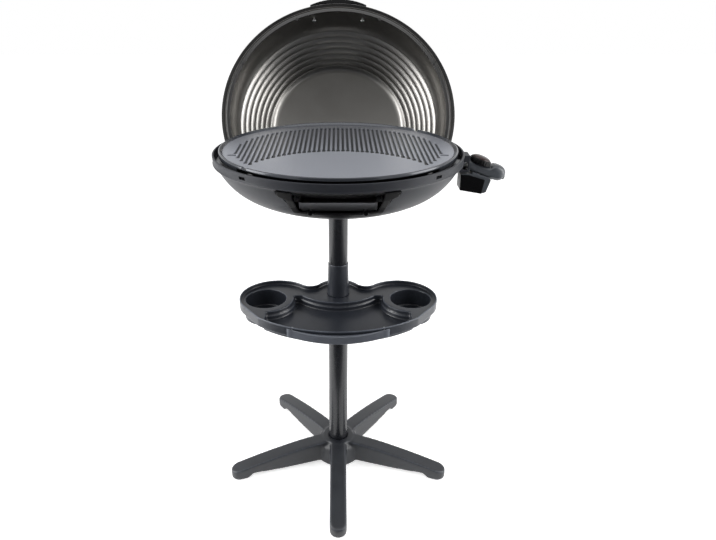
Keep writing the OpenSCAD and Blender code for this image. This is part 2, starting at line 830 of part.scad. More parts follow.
module lid_arm() {
    rotate([90, 0, 90]) linear_extrude(arm_t) difference() {
        union() {
            translate([pivot_y, -pivot_drop]) circle(r = arm_end_r, $fn = round_fn);
            translate([pivot_y, 0]) polygon([[-arm_end_r, -pivot_drop], [arm_end_r, -pivot_drop],
                [arm_end_r, 24], [6, 28], [-6, 22], [-arm_end_r, 14]]);
        }
        translate([pivot_y, -pivot_drop]) circle(r = pin_r + running, $fn = round_fn);
        for (p = rivet_places) translate(p) circle(r = 2 + fit, $fn = round_fn);
    }
}

module lid_arm_right() {
    color(charcoal) place_lid() translate([arm_x, 0, 0]) lid_arm();
}

module lid_arm_left() {
    color(charcoal) place_lid() mirror([1, 0, 0]) translate([arm_x, 0, 0]) lid_arm();
}

module lid_arm_rivets() {
    color(steel) place_lid() both_sides() for (p = rivet_places) translate([0, p[0], p[1]]) {
        x = lid_a * 0.966 * sqrt(1 - pow(p[0] / (lid_b * 0.966), 2)) + lid_wall;
        rod_x(2, x - 8, arm_x + arm_t + 1);
        rod_x(4.5, x + 1.2, arm_x - fit);
        rod_x(4, arm_x + arm_t, arm_x + arm_t + 1.5);
    }
}

// ---------- control ----------

module at_nose() {
    translate([nose_x, 0, nose_z]) children();
}

module droop_frame() {
    translate([nose_x, 0, nose_z + 3]) rotate([0, droop, 0]) children();
}

module housing_outline(inset) {
    r = housing_w / 2;
    translate([-2 + inset, -r + inset]) square([housing_l - r + 2 - inset, housing_w - 2 * inset]);
    translate([housing_l - r, 0]) circle(r = r - inset, $fn = round_fn);
}

// Low shell under the knob, with a raised hump behind it
module upper_shell(inset) {
    high = arm_top - inset;
    rise = hump_top - inset;
    intersection() {
        translate([0, 0, -inset]) linear_extrude(hump_top) housing_outline(inset);
        rotate([90, 0, 0]) linear_extrude(housing_w + 2, center = true)
            polygon([[-5, -inset], [-5, high], [hump_from + inset, high], [hump_from + 8 + inset, rise],
                [housing_l - 12, rise], [housing_l + 1, rise - 5], [housing_l + 1, -inset]]);
    }
}

module control_housing_upper() {
    color(graphite) difference() {
        droop_frame() {
            difference() {
                upper_shell(0);
                upper_shell(2.2);
                translate([knob_place, 0, 0]) rod(3 + running, -1, 30);
            }
            for (p = case_screws) translate(p) difference() {
                rod(3, -12.2, p[0] < hump_from ? arm_top - 1 : hump_top - 1);
                rod(1.5 + fit, -13, -0.5);
            }
        }
        translate([nose_x - 40, -40, nose_z - 60]) cube([40, 80, 120]);
    }
}

module control_housing_lower() {
    color(charcoal) difference() {
        union() {
            droop_frame() difference() {
                translate([0, 0, -15]) linear_extrude(15) housing_outline(0);
                translate([0, 0, -12.5]) linear_extrude(20) housing_outline(2.5);
            }
            at_nose() translate([0, -17, -17]) cube([4, 34, 18]);
        }
        translate([nose_x - 40, -40, nose_z - 60]) cube([40, 80, 120]);
        droop_frame() translate([-20, -30, 0]) cube([140, 60, 40]);
        for (s = [-1, 1]) translate([nose_x, s * pin_y, pin_z]) rod_x(2.6, -1, 16);
        translate([nose_x, 0, probe_z]) rod_x(3 + fit, -1, 9);
        droop_frame() translate([housing_l - 8, 0, -6]) rod_x(4 + fit, 0, 20);
        droop_frame() for (p = case_screws) translate(p) rod(1.5 + fit, -30, 0);
    }
}

// Box below the housing that carries the switch; its outline is seen from the front
box_outline = [[-17, -20], [-17, -54], [29, -62], [38, -59], [46, -34], [40, -20], [6, -10], [6, -20]];

module control_box() {
    color(charcoal) difference() {
        at_nose() rotate([90, 0, 0]) linear_extrude(box_w, center = true) polygon(box_outline);
        at_nose() rotate([90, 0, 0]) linear_extrude(box_w - 5, center = true) offset(delta = -2.5)
            polygon(box_outline);
        droop_frame() translate([-8, -30, -15]) cube([120, 60, 60]);
    }
}

module control_box_cover() {
    color(black) at_nose() translate([0, -box_w / 2, 0]) rotate([90, 0, 0]) linear_extrude(2)
        polygon([[-17, -21], [-17, -54], [28, -61.8], [33, -32], [0, -22]]);
}

module probe_rod() {
    color(steel) translate([nose_x, 0, probe_z]) rod_x(3, -probe_l, 8);
}

module contact_block() {
    color(black) difference() {
        translate([nose_x + 4.2, -12, pin_z - 5]) cube([12, 24, 8]);
        for (s = [-1, 1]) translate([nose_x, s * pin_y, pin_z]) rod_x(2.6, 0, 14);
        translate([nose_x, 0, probe_z]) rod_x(3.3, 0, 20);
    }
}

module bimetal_switch() {
    color(steel) droop_frame() {
        translate([24, -6, -12.4]) cube([20, 12, 2]);
        translate([26, -3, -10.5]) cube([14, 6, 4]);
    }
}

module control_screws() {
    color(steel) droop_frame() for (p = case_screws) translate(p) {
        rod(1.5, -15.5, -1);
        rod(2.8, -17, -15);
    }
}

// Gland in the end of the housing where the lead goes in
module cord_gland() {
    color(black) droop_frame() difference() {
        union() {
            translate([housing_l - 8, 0, -6]) rod_x(4, 0, 9);
            translate([housing_l, 0, -6]) rod_x(5.5, 0, 3);
        }
        translate([housing_l - 9, 0, -6]) rod_x(2.6, 0, 30);
    }
}

module control_knob() {
    r = knob_d / 2;
    color(black) droop_frame() translate([knob_place, 0, knob_base]) difference() {
        union() {
            cylinder(r1 = r, r2 = r - 2.5, h = knob_h, $fn = round_fn);
            translate([0, 0, knob_h]) cylinder(r1 = r - 3, r2 = r - 6, h = 4, $fn = round_fn);
        }
        translate([0, 0, knob_h - 2]) cylinder(r = r - 8 + fit, h = 10, $fn = round_fn);
        translate([0, 0, -1]) cylinder(r = 3 + fit, h = 6, $fn = round_fn);
    }
}

module knob_shaft() {
    color(steel) droop_frame() translate([knob_place, 0, 0]) rod(3, -4, knob_base + 5);
}

module indicator_lens() {
    color("#7a3b30") droop_frame() translate([knob_place, 0, knob_base + knob_h - 2])
        cylinder(r = knob_d / 2 - 8, h = 7, $fn = round_fn);
}

star_foot();
foot_pads();
hub_bolt();
hub_washer();
tube_plug();
lower_tube();
tray_collar();
collar_screw();
tray();
tray_front_rail();
tray_rail_screws();
tube_sleeve();
upper_tube();
bowl();
head_socket();
socket_screws();
heat_reflector();
heating_element();
element_clips();
terminal_block();
terminal_pins();
terminal_shroud();
drip_rails();
hinge_bracket_left();
hinge_bracket_right();
hinge_pins();
lid_stops();
hinge_bracket_screws();
grill_plate();
drip_tray();
drip_tray_handle();
drip_tray_screws();
lid_shell();
lid_drip_lip();
lid_bumpers();
lid_handle();
lid_handle_screws();
lid_arm_left();
lid_arm_right();
lid_arm_rivets();
control_housing_upper();
control_housing_lower();
control_box();
control_box_cover();
probe_rod();
contact_block();
bimetal_switch();
control_screws();
cord_gland();
control_knob();
knob_shaft();
indicator_lens();
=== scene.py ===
# %% [markdown]
# # Electric grill with a hinged lid
# This notebook dresses a finished CAD model of a pedestal grill. The CAD frame says where every piece sits and
# what it moves with. Blender adds what a moulding shop, a paint line and a press add: rounded edges, grain and gloss.
# Lengths of the grill are typed in millimetres, and MM turns them to metres. Lamps and camera are in metres.

# %% Load the frame
import json
import math

import bmesh
import bpy
import numpy as np
from mathutils import Matrix, Vector

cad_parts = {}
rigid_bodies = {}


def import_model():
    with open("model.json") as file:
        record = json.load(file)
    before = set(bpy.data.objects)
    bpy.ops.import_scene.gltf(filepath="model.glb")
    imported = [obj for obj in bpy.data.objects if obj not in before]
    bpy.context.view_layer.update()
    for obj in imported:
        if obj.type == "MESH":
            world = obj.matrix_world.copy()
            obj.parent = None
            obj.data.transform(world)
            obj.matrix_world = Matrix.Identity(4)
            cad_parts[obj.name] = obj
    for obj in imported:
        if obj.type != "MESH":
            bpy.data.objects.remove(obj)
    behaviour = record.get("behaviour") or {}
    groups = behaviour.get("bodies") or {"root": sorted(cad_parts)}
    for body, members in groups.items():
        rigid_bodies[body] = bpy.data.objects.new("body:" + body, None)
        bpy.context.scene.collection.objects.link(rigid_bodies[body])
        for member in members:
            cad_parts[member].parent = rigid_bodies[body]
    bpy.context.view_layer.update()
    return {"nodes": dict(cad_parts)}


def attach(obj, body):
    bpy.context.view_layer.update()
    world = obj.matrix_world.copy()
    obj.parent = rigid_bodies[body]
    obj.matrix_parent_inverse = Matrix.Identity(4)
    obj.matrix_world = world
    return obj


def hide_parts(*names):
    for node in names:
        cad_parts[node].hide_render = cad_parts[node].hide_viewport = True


for old in list(bpy.data.objects):
    bpy.data.objects.remove(old)
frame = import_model()
nodes = frame["nodes"]

# %% [markdown]
# ## Helpers for meshes
# Most shells of a grill are turned shapes that were drawn in from front to back. A lathe with an oval plan makes
# them: a profile is turned round the upright axis, and its depth is scaled. Chaikin's corner cutting rounds a
# profile's corners, as a press tool or a mould does, and costs only a few more rings.

# %% Mesh helpers
MM = 0.001


def chaikin(points, closed=False):
    """Cuts every corner at a quarter of its two sides. An open line keeps its two ends."""
    out = [] if closed else [points[0]]
    for i in range(len(points) if closed else len(points) - 1):
        p, q = np.array(points[i], float), np.array(points[(i + 1) % len(points)], float)
        out += [tuple(p * 0.75 + q * 0.25), tuple(p * 0.25 + q * 0.75)]
    return out if closed else out + [points[-1]]


def bezier(t, p0, p1, p2, p3):
    """A cubic curve's value at t, from 0 to 1."""
    s = 1 - t
    return s ** 3 * p0 + 3 * s * s * t * p1 + 3 * s * t * t * p2 + t ** 3 * p3


def placed(name, mesh):
    """An object for a mesh, in the scene."""
    piece = bpy.data.objects.new(name, mesh)
    bpy.context.scene.collection.objects.link(piece)
    return piece


def to_mesh(name, verts, faces, matrix=None):
    """A piece from points in millimetres. Points that coincide are merged, and all faces look outwards."""
    mesh = bpy.data.meshes.new(name)
    verts = [Vector(v) * MM for v in verts]
    if matrix is not None:
        verts = [matrix @ v for v in verts]
    mesh.from_pydata(verts, [], faces)
    bm = bmesh.new()
    bm.from_mesh(mesh)
    bmesh.ops.remove_doubles(bm, verts=bm.verts, dist=1e-6)
    bmesh.ops.recalc_face_normals(bm, faces=bm.faces)
    bm.to_mesh(mesh)
    bm.free()
    return placed(name, mesh)


def joined(name, meshes):
    """One piece from the meshes of several."""
    bm = bmesh.new()
    for mesh in meshes:
        bm.from_mesh(mesh)
    whole = bpy.data.meshes.new(name)
    bm.to_mesh(whole)
    bm.free()
    return placed(name, whole)


def merged(name, parts):
    """One piece from several, which go away."""
    piece = joined(name, [part.data for part in parts])
    for part in parts:
        bpy.data.objects.remove(part)
    return piece


def lathe(name, profile, a, b, count=160, closed=False, matrix=None, wave=None, arc=None):
    """Turns [radius, height] pairs round Z into an oval. arc = (from, to) in degrees makes part of a turn."""
    verts, rings = [], []
    start, end = arc or (0, 360)
    columns = count + 1 if arc else count
    for r, z in profile:
        if r < 1e-6 and not arc:
            rings.append([len(verts)] * columns)
            verts.append((0, 0, z))
            continue
        rings.append(list(range(len(verts), len(verts) + columns)))
        for k in range(columns):
            t = math.radians(start + (end - start) * k / count)
            rr = r * (wave(t, z) if wave else 1)
            verts.append((rr * math.cos(t), rr * math.sin(t) * b / a, z))
    faces = []
    for i in range(len(rings) if closed else len(rings) - 1):
        lo, hi = rings[i], rings[(i + 1) % len(rings)]
        for k in range(count):
            n = k + 1 if arc else (k + 1) % count
            loop = [lo[k], lo[n], hi[n], hi[k]]
            face = [v for j, v in enumerate(loop) if v != loop[j - 1]]
            if len(face) > 2:
                faces.append(face)
    if arc:
        faces += [[ring[0] for ring in rings], [ring[-1] for ring in reversed(rings)]]
    return to_mesh(name, verts, faces, matrix)


def loft(name, loops, matrix=None):
    """Joins closed loops of equal length, and caps the first and the last."""
    verts = [p for loop in loops for p in loop]
    n = len(loops[0])
    faces = [[i * n + k, i * n + (k + 1) % n, (i + 1) * n + (k + 1) % n, (i + 1) * n + k]
             for i in range(len(loops) - 1) for k in range(n)]
    faces += [list(range(n)), list(range((len(loops) - 1) * n, len(loops) * n))]
    return to_mesh(name, verts, faces, matrix)


def bake(piece):
    """Applies the modifiers of a piece, so what is shown is plain mesh."""
    shown = piece.evaluated_get(bpy.context.evaluated_depsgraph_get())
    mesh = bpy.data.meshes.new_from_object(shown)
    piece.modifiers.clear()
    piece.data = mesh
    return piece


def cut(piece, *tools):
    """Takes the tools' shapes out of a piece."""
    for tool in tools:
        m = piece.modifiers.new("cut", "BOOLEAN")
        m.operation, m.solver, m.object = "DIFFERENCE", "EXACT", tool
    bake(piece)
    for tool in tools:
        bpy.data.objects.remove(tool)
    return piece


def prism(outline, low, high, matrix=None):
    """An upright prism over an outline of (x, y) pairs."""
    return loft("tool", [[(x, y, z) for x, y in outline] for z in (low, high)], matrix)


def shown_as(piece, material, body, slot, *replaced, sharp=40):
    """Gives a piece its finish and its body; its slot is not used. Edges over sharp degrees stay crisp; 0 leaves
    none.
    """
    piece.data.materials.clear()
    piece.data.materials.append(material)
    piece.data.shade_smooth()
    if sharp:
        piece.data.set_sharp_from_angle(angle=math.radians(sharp))
    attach(piece, body)
    if replaced:
        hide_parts(*replaced)
    print(piece.name, len(piece.data.polygons), "faces")
    return piece


def block(x0, x1, y0, y1, z0, z1, matrix=None):
    """A box between its limits, to cut with or as a small part."""
    return prism([(x0, y0), (x1, y0), (x1, y1), (x0, y1)], z0, z1, matrix)


print("mesh helpers ready")

# %% [markdown]
# ## Softening a moulded part
# A plastic moulding has no knife edge: every corner carries a radius of a millimetre or two. The CAD solids are
# crisp. Rebuilding a copy of such a solid from small voxels and smoothing it gives every corner the same radius at
# once, which bevelling hundreds of edges by hand would not do as evenly.

# %% Soften


def soften(name, source, voxel, rounds, keep=0.4, extra=()):
    """A rounded copy of a CAD node: voxel is the grid in mm, rounds is how far edges are rounded."""
    piece = joined(name, [nodes[source].data] + [other.data for other in extra])
    for other in extra:
        bpy.data.objects.remove(other)
    grid = piece.modifiers.new("voxels", "REMESH")
    grid.mode, grid.voxel_size = "VOXEL", voxel * MM
    smooth = piece.modifiers.new("radius", "SMOOTH")
    smooth.factor, smooth.iterations = 0.5, rounds
    fewer = piece.modifiers.new("fewer", "DECIMATE")
    fewer.ratio = keep
    return bake(piece)


print("soften ready")

# %% [markdown]
# ## Helpers for materials
# A Principled shader gets its plain numbers on its own sockets, because those survive the export. Only what
# varies over the surface comes through nodes. Coordinates are the object's own, in metres, so a pattern's scale is
# worked out from a size in millimetres: a noise of scale 1000 has features about one millimetre wide.

# %% Material helpers


def colour(hex_code):
    """Linear colour from an sRGB hex value."""
    parts = [int(hex_code[i:i + 2], 16) / 255 for i in (1, 3, 5)]
    return tuple(c / 12.92 if c <= 0.04045 else ((c + 0.055) / 1.055) ** 2.4 for c in parts) + (1.0,)


def add(tree, kind, settings=None, **inputs):
    """Adds a node. settings are its properties; inputs are numbers or the sockets that feed it."""
    node = tree.nodes.new(kind)
    for key, value in (settings or {}).items():
        setattr(node, key, value)
    for key, value in inputs.items():
        socket = node.inputs[int(key[1:]) if key[0] == "_" else key.replace("_", " ")]
        if isinstance(value, bpy.types.NodeSocket):
            tree.links.new(value, socket)
        else:
            socket.default_value = value
    return node


def grains(size_mm):
    """The noise scale that gives features of this size."""
    return 1000.0 / size_mm


def blank(name, **numbers):
    """A material with a bare Principled shader, and the object's own coordinates to work from."""
    material = bpy.data.materials.new(name)
    material.use_nodes = True
    tree = material.node_tree
    tree.nodes.clear()
    shader = add(tree, "ShaderNodeBsdfPrincipled", None, **numbers)
    add(tree, "ShaderNodeOutputMaterial", None, Surface=shader.outputs[0])
    place = add(tree, "ShaderNodeTexCoord").outputs["Object"]
    return material, tree, shader, place


def spread(tree, value, dark, light, low=0.35, high=0.65):
    """A ramp from dark to light over a noise value."""
    ramp = add(tree, "ShaderNodeValToRGB", None, Fac=value)
    ramp.color_ramp.elements[0].position, ramp.color_ramp.elements[1].position = low, high
    ramp.color_ramp.elements[0].color, ramp.color_ramp.elements[1].color = colour(dark), colour(light)
    return ramp.outputs["Color"]


PATCH_MM = 60
EDGE_FROM, EDGE_FULL = 0.51, 0.57


def moulded(name, dark, light, roughness, grain_mm, bump_mm, wear=0.06, edge=None, **numbers):
    """Moulded or sprayed finish: slow patches of tone and gloss, and a fine grain. edge paints sharp edges a paler
    colour: wear, and a painted highlight.
    """
    material, tree, shader, place = blank(name, Roughness=roughness, **numbers)
    slow = add(tree, "ShaderNodeTexNoise", None, Vector=place, Scale=grains(PATCH_MM), Detail=3.0)
    tone = spread(tree, slow.outputs[0], dark, light)
    # Painted highlight and wear: edges that Pointiness finds get the paler edge colour.
    if edge:
        ridge = add(tree, "ShaderNodeMapRange", None, Value=add(tree, "ShaderNodeNewGeometry").outputs["Pointiness"],
                    From_Min=EDGE_FROM, From_Max=EDGE_FULL)
        edge_wear_and_highlight = add(tree, "ShaderNodeMix", {"data_type": "RGBA"}, Factor=ridge.outputs[0], _6=tone, _7=colour(edge))
        tone = edge_wear_and_highlight.outputs[2]
    tree.links.new(tone, shader.inputs["Base Color"])
    fine = add(tree, "ShaderNodeTexNoise", None, Vector=place, Scale=grains(grain_mm), Detail=2.0)
    bump = add(tree, "ShaderNodeBump", None, Height=fine.outputs[0], Distance=bump_mm * MM, Strength=0.5)
    tree.links.new(bump.outputs[0], shader.inputs["Normal"])
    worn = add(tree, "ShaderNodeMapRange", None, Value=slow.outputs[0], To_Min=roughness - wear,
               To_Max=roughness + wear)
    tree.links.new(worn.outputs[0], shader.inputs["Roughness"])
    return material


print("material helpers ready")

# %% [markdown]
# ## Plastics
# The bowl is a heat resistant moulded polyester (PBT) with a satin grain, in a cool graphite grey. The tray and the
# foot are moulded ABS and polypropylene in charcoal, and the grips are black phenolic resin, which is smoother.
# Spark-eroded grain on such parts is 0.2 to 0.5 mm wide; it is drawn at 0.8 mm or more so that it shows. Edges get a
# paler colour, partly wear from hands and partly a painted highlight, and Blender's Pointiness finds those edges. One
# function makes them all, because they differ only in colour, gloss and grain.

# %% Plastic materials
# Satin polyester: soft, broad highlights on the bowl, dark between them
pbt_graphite = moulded("PBT_moulded_graphite", "#212328", "#27292f", 0.45, 0.8, 0.04, Specular_IOR_Level=0.25)
# ABS keeps a half gloss; the paler colour on its edges is a painted highlight on the tray's rims
abs_charcoal = moulded("ABS_moulded_charcoal", "#25282e", "#2c2f36", 0.34, 0.8, 0.04, edge="#5a606b")
# Polypropylene is duller and coarser; the paler colour on the foot's edges is wear and a painted highlight
polypropylene = moulded("Polypropylene_moulded_foot", "#1b1d22", "#22252a", 0.42, 1.0, 0.07, edge="#4a4e57")
# Phenolic resin is the blackest part: hardly any sheen
phenolic_black = moulded("Phenolic_resin_black", "#050506", "#08080a", 0.35, 1.5, 0.02, Specular_IOR_Level=0.1)
# Glass filled nylon: greyer than the rest, with a tight grain
nylon_charcoal = moulded("Nylon_moulded_control", "#393c41", "#42464b", 0.32, 0.8, 0.04)
# The tray's grip is the bowl's plastic, painted lighter and with paler edges as a painted highlight
grip_graphite = moulded("PBT_moulded_grip", "#383b42", "#42454d", 0.3, 0.8, 0.03, edge="#7f848d")
# Rubber scatters light widely: a dull sheen, with no clear highlight
nitrile_rubber = moulded("Nitrile_rubber_moulded", "#131313", "#1b1b1b", 0.75, 1.0, 0.05)
print("plastics:", pbt_graphite.name, abs_charcoal.name, polypropylene.name)

# %% [markdown]
# ## Painted and coated metal
# The pole is steel tube with a powder coat: a thick, glossy skin with a faint orange peel, drawn 12 mm wide. The
# lid is pressed sheet. Inside it has a metallic, heat resistant coat, so its highlights are broad and warm grey;
# its flange and its outside carry black enamel. A thick coat looks like a moulding with more gloss and a wider
# ripple, so the same function serves.

# %% Coated metals
# Powder coat: a sharp bright line down each side of a dark tube
powder_coat = moulded("Powder_coated_steel_tube", "#1c1d21", "#1f2024", 0.26, 12.0, 0.01, wear=0.015)
# Metallic coat: nearly a metal, so it shows the room's light and dark as soft bands
shell_coat = moulded("Metallic_coat_on_pressed_sheet", "#8e8c89", "#93918e", 0.28, 2.5, 0.004, wear=0.01,
                     Metallic=0.95)
# Enamel is glass on steel: black, with a clean gloss
enamel_black = moulded("Heat_resistant_enamel_black", "#141414", "#1b1a1a", 0.3, 1.0, 0.004)
# The hinge's strips have a thinner, duller powder coat
arm_coat = moulded("Powder_coated_steel_strip", "#1d1e21", "#24252a", 0.4, 2.0, 0.04)
print("coats:", powder_coat.name, shell_coat.name, enamel_black.name, arm_coat.name)

# %% [markdown]
# ## The plate's non-stick coat
# The plate is an aluminium die casting with a sprayed non-stick coat, which carries fine pale flecks. Painted shade
# darkens it: the back of the plate, for the open lid's shade and reflection, the grooves, where shade falls, and most
# of all the grooves' open front ends, which a painted shadow turns black. Its raised edge is painted dark as well, as
# shade, but it is glossier, so it shines. Painting these places on by hand would need a flat map of the plate. Each
# is found from a coordinate or a distance instead: at the first limit the darker colour shows, at the second the tone
# that was there before.

# %% Plate sizes
RIM_Z = 793.5
PLATE_A, PLATE_B, PLATE_Z = 242, 229.5, RIM_Z + 8.1
MOON_R, MOON_Y = 183, 22.5 - PLATE_B
DECK_Z, UNDER_Z = PLATE_Z - 4.5, PLATE_Z - 12.5
EDGE_IN, EDGE_OUT = PLATE_A - 9, PLATE_A - 7.5
print("plate deck at", DECK_Z, "mm")

# %% Non-stick coat
nonstick, tree, shader, place = blank("Nonstick_coat_on_die_cast_aluminium", Metallic=0.25, Roughness=0.38)
fleck = add(tree, "ShaderNodeTexNoise", None, Vector=place, Scale=grains(1.4), Detail=4.0)
tone = spread(tree, fleck.outputs[0], "#878a92", "#9c9fa7", 0.40, 0.68)
axes = add(tree, "ShaderNodeSeparateXYZ", None, Vector=place).outputs
rounded = add(tree, "ShaderNodeVectorMath", {"operation": "MULTIPLY"}, _0=place, _1=(1, PLATE_A / PLATE_B, 0))
radius = add(tree, "ShaderNodeVectorMath", {"operation": "LENGTH"}, _0=rounded.outputs[0]).outputs["Value"]
above = add(tree, "ShaderNodeVectorMath", {"operation": "MULTIPLY"}, _0=place, _1=(1, 1, 0))
reach = add(tree, "ShaderNodeVectorMath", {"operation": "DISTANCE"}, _0=above.outputs[0], _1=(0, MOON_Y * MM, 0))
# Painted shadow: low points near the moon's curve, the grooves' open front ends, are painted black.
beyond = add(tree, "ShaderNodeMapRange", None, Value=reach.outputs["Value"], From_Min=(MOON_R + 12) * MM,
             From_Max=(MOON_R + 14) * MM)
high_up = add(tree, "ShaderNodeMapRange", None, Value=axes["Z"], From_Min=(DECK_Z - 1.6) * MM,
              From_Max=(DECK_Z - 1) * MM)
painted_pit_shadow = add(tree, "ShaderNodeMath", {"operation": "MAXIMUM"}, _0=beyond.outputs[0], _1=high_up.outputs[0])
# Painted shade, layer by layer: the back of the plate, for the open lid's shade and reflection; the raised rim; the
# grooves; and the grooves' front ends, black.
for value, dark_at, plain_at, darker in (
        (axes["Y"], 190 * MM, -40 * MM, "#55575d"),
        (radius, EDGE_OUT * MM, EDGE_IN * MM, "#3a3d43"),
        (axes["Z"], (DECK_Z - 2.6) * MM, (DECK_Z - 0.9) * MM, "#333539"),
        (painted_pit_shadow.outputs[0], 0, 1, "#050505")):
    part = add(tree, "ShaderNodeMapRange", None, Value=value, From_Min=dark_at, From_Max=plain_at)
    mixed = add(tree, "ShaderNodeMix", {"data_type": "RGBA"}, Factor=part.outputs[0], _6=colour(darker), _7=tone)
    tone = mixed.outputs[2]
tree.links.new(tone, shader.inputs["Base Color"])
gloss = add(tree, "ShaderNodeMapRange", None, Value=radius, From_Min=EDGE_IN * MM, From_Max=EDGE_OUT * MM,
            To_Min=0.38, To_Max=0.16)
tree.links.new(gloss.outputs[0], shader.inputs["Roughness"])
peel = add(tree, "ShaderNodeTexNoise", None, Vector=place, Scale=grains(2.5), Detail=2.0)
skin = add(tree, "ShaderNodeBump", None, Height=peel.outputs[0], Distance=0.04 * MM, Strength=0.4)
tree.links.new(skin.outputs[0], shader.inputs["Normal"])
print("non-stick coat:", len(tree.nodes), "nodes")

# %% [markdown]
# ## Bare metal, lens and heater
# Screws and pins are zinc plated steel. The reflector is aluminised steel, rolled, so its noise is stretched along
# one axis. The drip tray is drawn aluminium with a dull anodised skin. The heater's sheath is nickel alloy with a
# dark oxide. The knob's top is a tinted, clear polycarbonate that the pilot lamp shines through. A noise in the
# colour and the bump, rather than a finer mesh, is enough for lines that are under a millimetre wide.

# %% Bare metals
LINE_MM = 0.6


def brushed(name, dark, light, roughness, stretch):
    """Rolled or brushed metal: long fine lines along one axis."""
    material, tree, shader, place = blank(name, Metallic=1.0, Roughness=roughness)
    drawn = add(tree, "ShaderNodeMapping", None, Vector=place, Scale=stretch)
    lines = add(tree, "ShaderNodeTexNoise", None, Vector=drawn.outputs[0], Scale=grains(LINE_MM), Detail=2.0)
    tree.links.new(spread(tree, lines.outputs[0], dark, light), shader.inputs["Base Color"])
    bump = add(tree, "ShaderNodeBump", None, Height=lines.outputs[0], Distance=0.01 * MM, Strength=0.4)
    tree.links.new(bump.outputs[0], shader.inputs["Normal"])
    return material


# Zinc: bright, a little soft
zinc_plate = brushed("Zinc_plated_steel", "#b4b5b6", "#cfd0d2", 0.3, (1, 1, 1))
# Aluminised sheet: greyer, with fine rolling lines
aluminised_steel = brushed("Aluminised_steel", "#8f9092", "#a3a4a6", 0.42, (1, 0.05, 1))
# Oxide: a brown black that still glints
oxide_sheath = brushed("Oxidised_heater_sheath", "#3a3836", "#4b4845", 0.5, (1, 1, 1))
# Tinted polycarbonate: almost black while the lamp is off, with a red depth
lamp_lens = moulded("Tinted_polycarbonate_lens", "#220d0c", "#2a1210", 0.14, 4.0, 0.01, Transmission_Weight=0.2,
                    Specular_IOR_Level=0.3)
# Anodised aluminium: its oxide skin hides most of the mirror, so it is only partly metallic
pan_aluminium = moulded("Anodised_aluminium_pan", "#85868b", "#8f9095", 0.5, 1.2, 0.01, Metallic=0.4)
# Chrome: one small bright mark on the knob's side
polished_trim = moulded("Chrome_plated_trim", "#c9cbce", "#d6d8da", 0.2, 4.0, 0.005, Metallic=1.0)
print("metals:", zinc_plate.name, pan_aluminium.name)

# %% [markdown]
# ## The lid
# The lid is one pressed sheet: a flat flange with a rolled edge, a steep wall, seven stepped rings that stiffen it,
# and a shallow crown. It is turned as one profile and then swung to its open rest. Its place is worked out as the
# hinge does it: turn about the pins by 116 degrees, from the closed lid. The lathe makes its faces ring by ring, so
# counting them tells which side of the sheet a face is on, and the outside gets the enamel. A straight cut at the
# rear lets the edge pass behind the bowl. It leaves an opening between the hinges while the lid is shut.

# %% Lid shell
PIN_Y, PIN_Z, PIN_DROP, OPEN_TURN = 102.91, 753.468, 43.032, 116
lid_place = (Matrix.Translation((0, PIN_Y * MM, PIN_Z * MM)) @ Matrix.Rotation(-math.radians(OPEN_TURN), 4, "X")
             @ Matrix.Translation((0, -PIN_Y * MM, PIN_DROP * MM)))
LID_A, LID_B, LID_H, LID_REAR = 267, 257, 165, 224
FLANGE_R, RING_R, CROWN_R = 0.965 * LID_A, 0.885 * LID_A, 0.60 * LID_A
RING_LOW, RING_HIGH, RINGS, SHEET = 80, 150, 7, 1.8
LID_COLUMNS = 240

inside = [(FLANGE_R, 0.4)]
inside += [(bezier(t, FLANGE_R, 0.962 * LID_A, 0.93 * LID_A, RING_R), bezier(t, 2, 40, 66, RING_LOW))
           for t in np.linspace(0.04, 1, 12)]
ring_in, ring_up = (RING_R - CROWN_R) / RINGS, (RING_HIGH - RING_LOW) / RINGS
for k in range(RINGS):
    inside += [(RING_R - (k + 0.10) * ring_in, RING_LOW + (k + 0.26) * ring_up),
               (RING_R - (k + 0.26) * ring_in, RING_LOW + (k + 0.10) * ring_up),
               (RING_R - (k + 1.0) * ring_in, RING_LOW + (k + 1.0) * ring_up)]
inside += [(CROWN_R * s, LID_H - (LID_H - RING_HIGH) * s * s) for s in np.linspace(0.92, 0, 14)]
inside = chaikin(inside)


def shifted(profile, by):
    """The profile moved along its own normal, for the other face of a sheet."""
    p = np.array(profile)
    along = np.gradient(p, axis=0)
    along /= np.linalg.norm(along, axis=1)[:, None]
    out = p + by * np.c_[along[:, 1], -along[:, 0]]
    out[-1, 0] = 0
    return [tuple(q) for q in out]


outside = [p for p in shifted(inside, SHEET) if p[1] > 3.4]
flange = [(FLANGE_R + 2.6, 2.4), (LID_A - 2, 2.3), (LID_A - 0.5, 1.6), (LID_A - 0.1, 0.3), (LID_A - 0.9, -0.7),
          (LID_A - 2.2, -0.6), (LID_A - 3.0, 0.2), (FLANGE_R + 1.0, 0.2)]
lid = lathe("lid_dome", outside[::-1] + flange + inside, LID_A, LID_B, LID_COLUMNS, matrix=lid_place)
for coat in (shell_coat, enamel_black):
    lid.data.materials.append(coat)
enamelled = len(outside) + len(flange) - 1
for face in lid.data.polygons:
    face.material_index = int(face.index // LID_COLUMNS < enamelled)
rear = [(-LID_A, LID_REAR), (LID_A, LID_REAR), (LID_A, LID_B + 20), (-LID_A, LID_B + 20)]
cut(lid, prism(rear, -10, LID_H, lid_place))
coats = [face.material_index for face in lid.data.polygons]
shown_as(lid, shell_coat, "lid", "lid_sheet", "lid_shell", sharp=55)
lid.data.materials.append(enamel_black)
lid.data.polygons.foreach_set("material_index", coats)
print("enamelled faces:", sum(coats), "of", len(coats))

# %% [markdown]
# ## The lid's drip lip and handle
# A thin ring with a folded edge sits inside the flange and sends drips back to the plate. It stops short at the
# rear, where the arms are, so the lathe makes only a part of a turn, which closes the ring's ends as well. The
# handle is a moulded grip, held by two screws whose heads show inside the lid. The screws are turned, and two bars
# cut the cross recess.

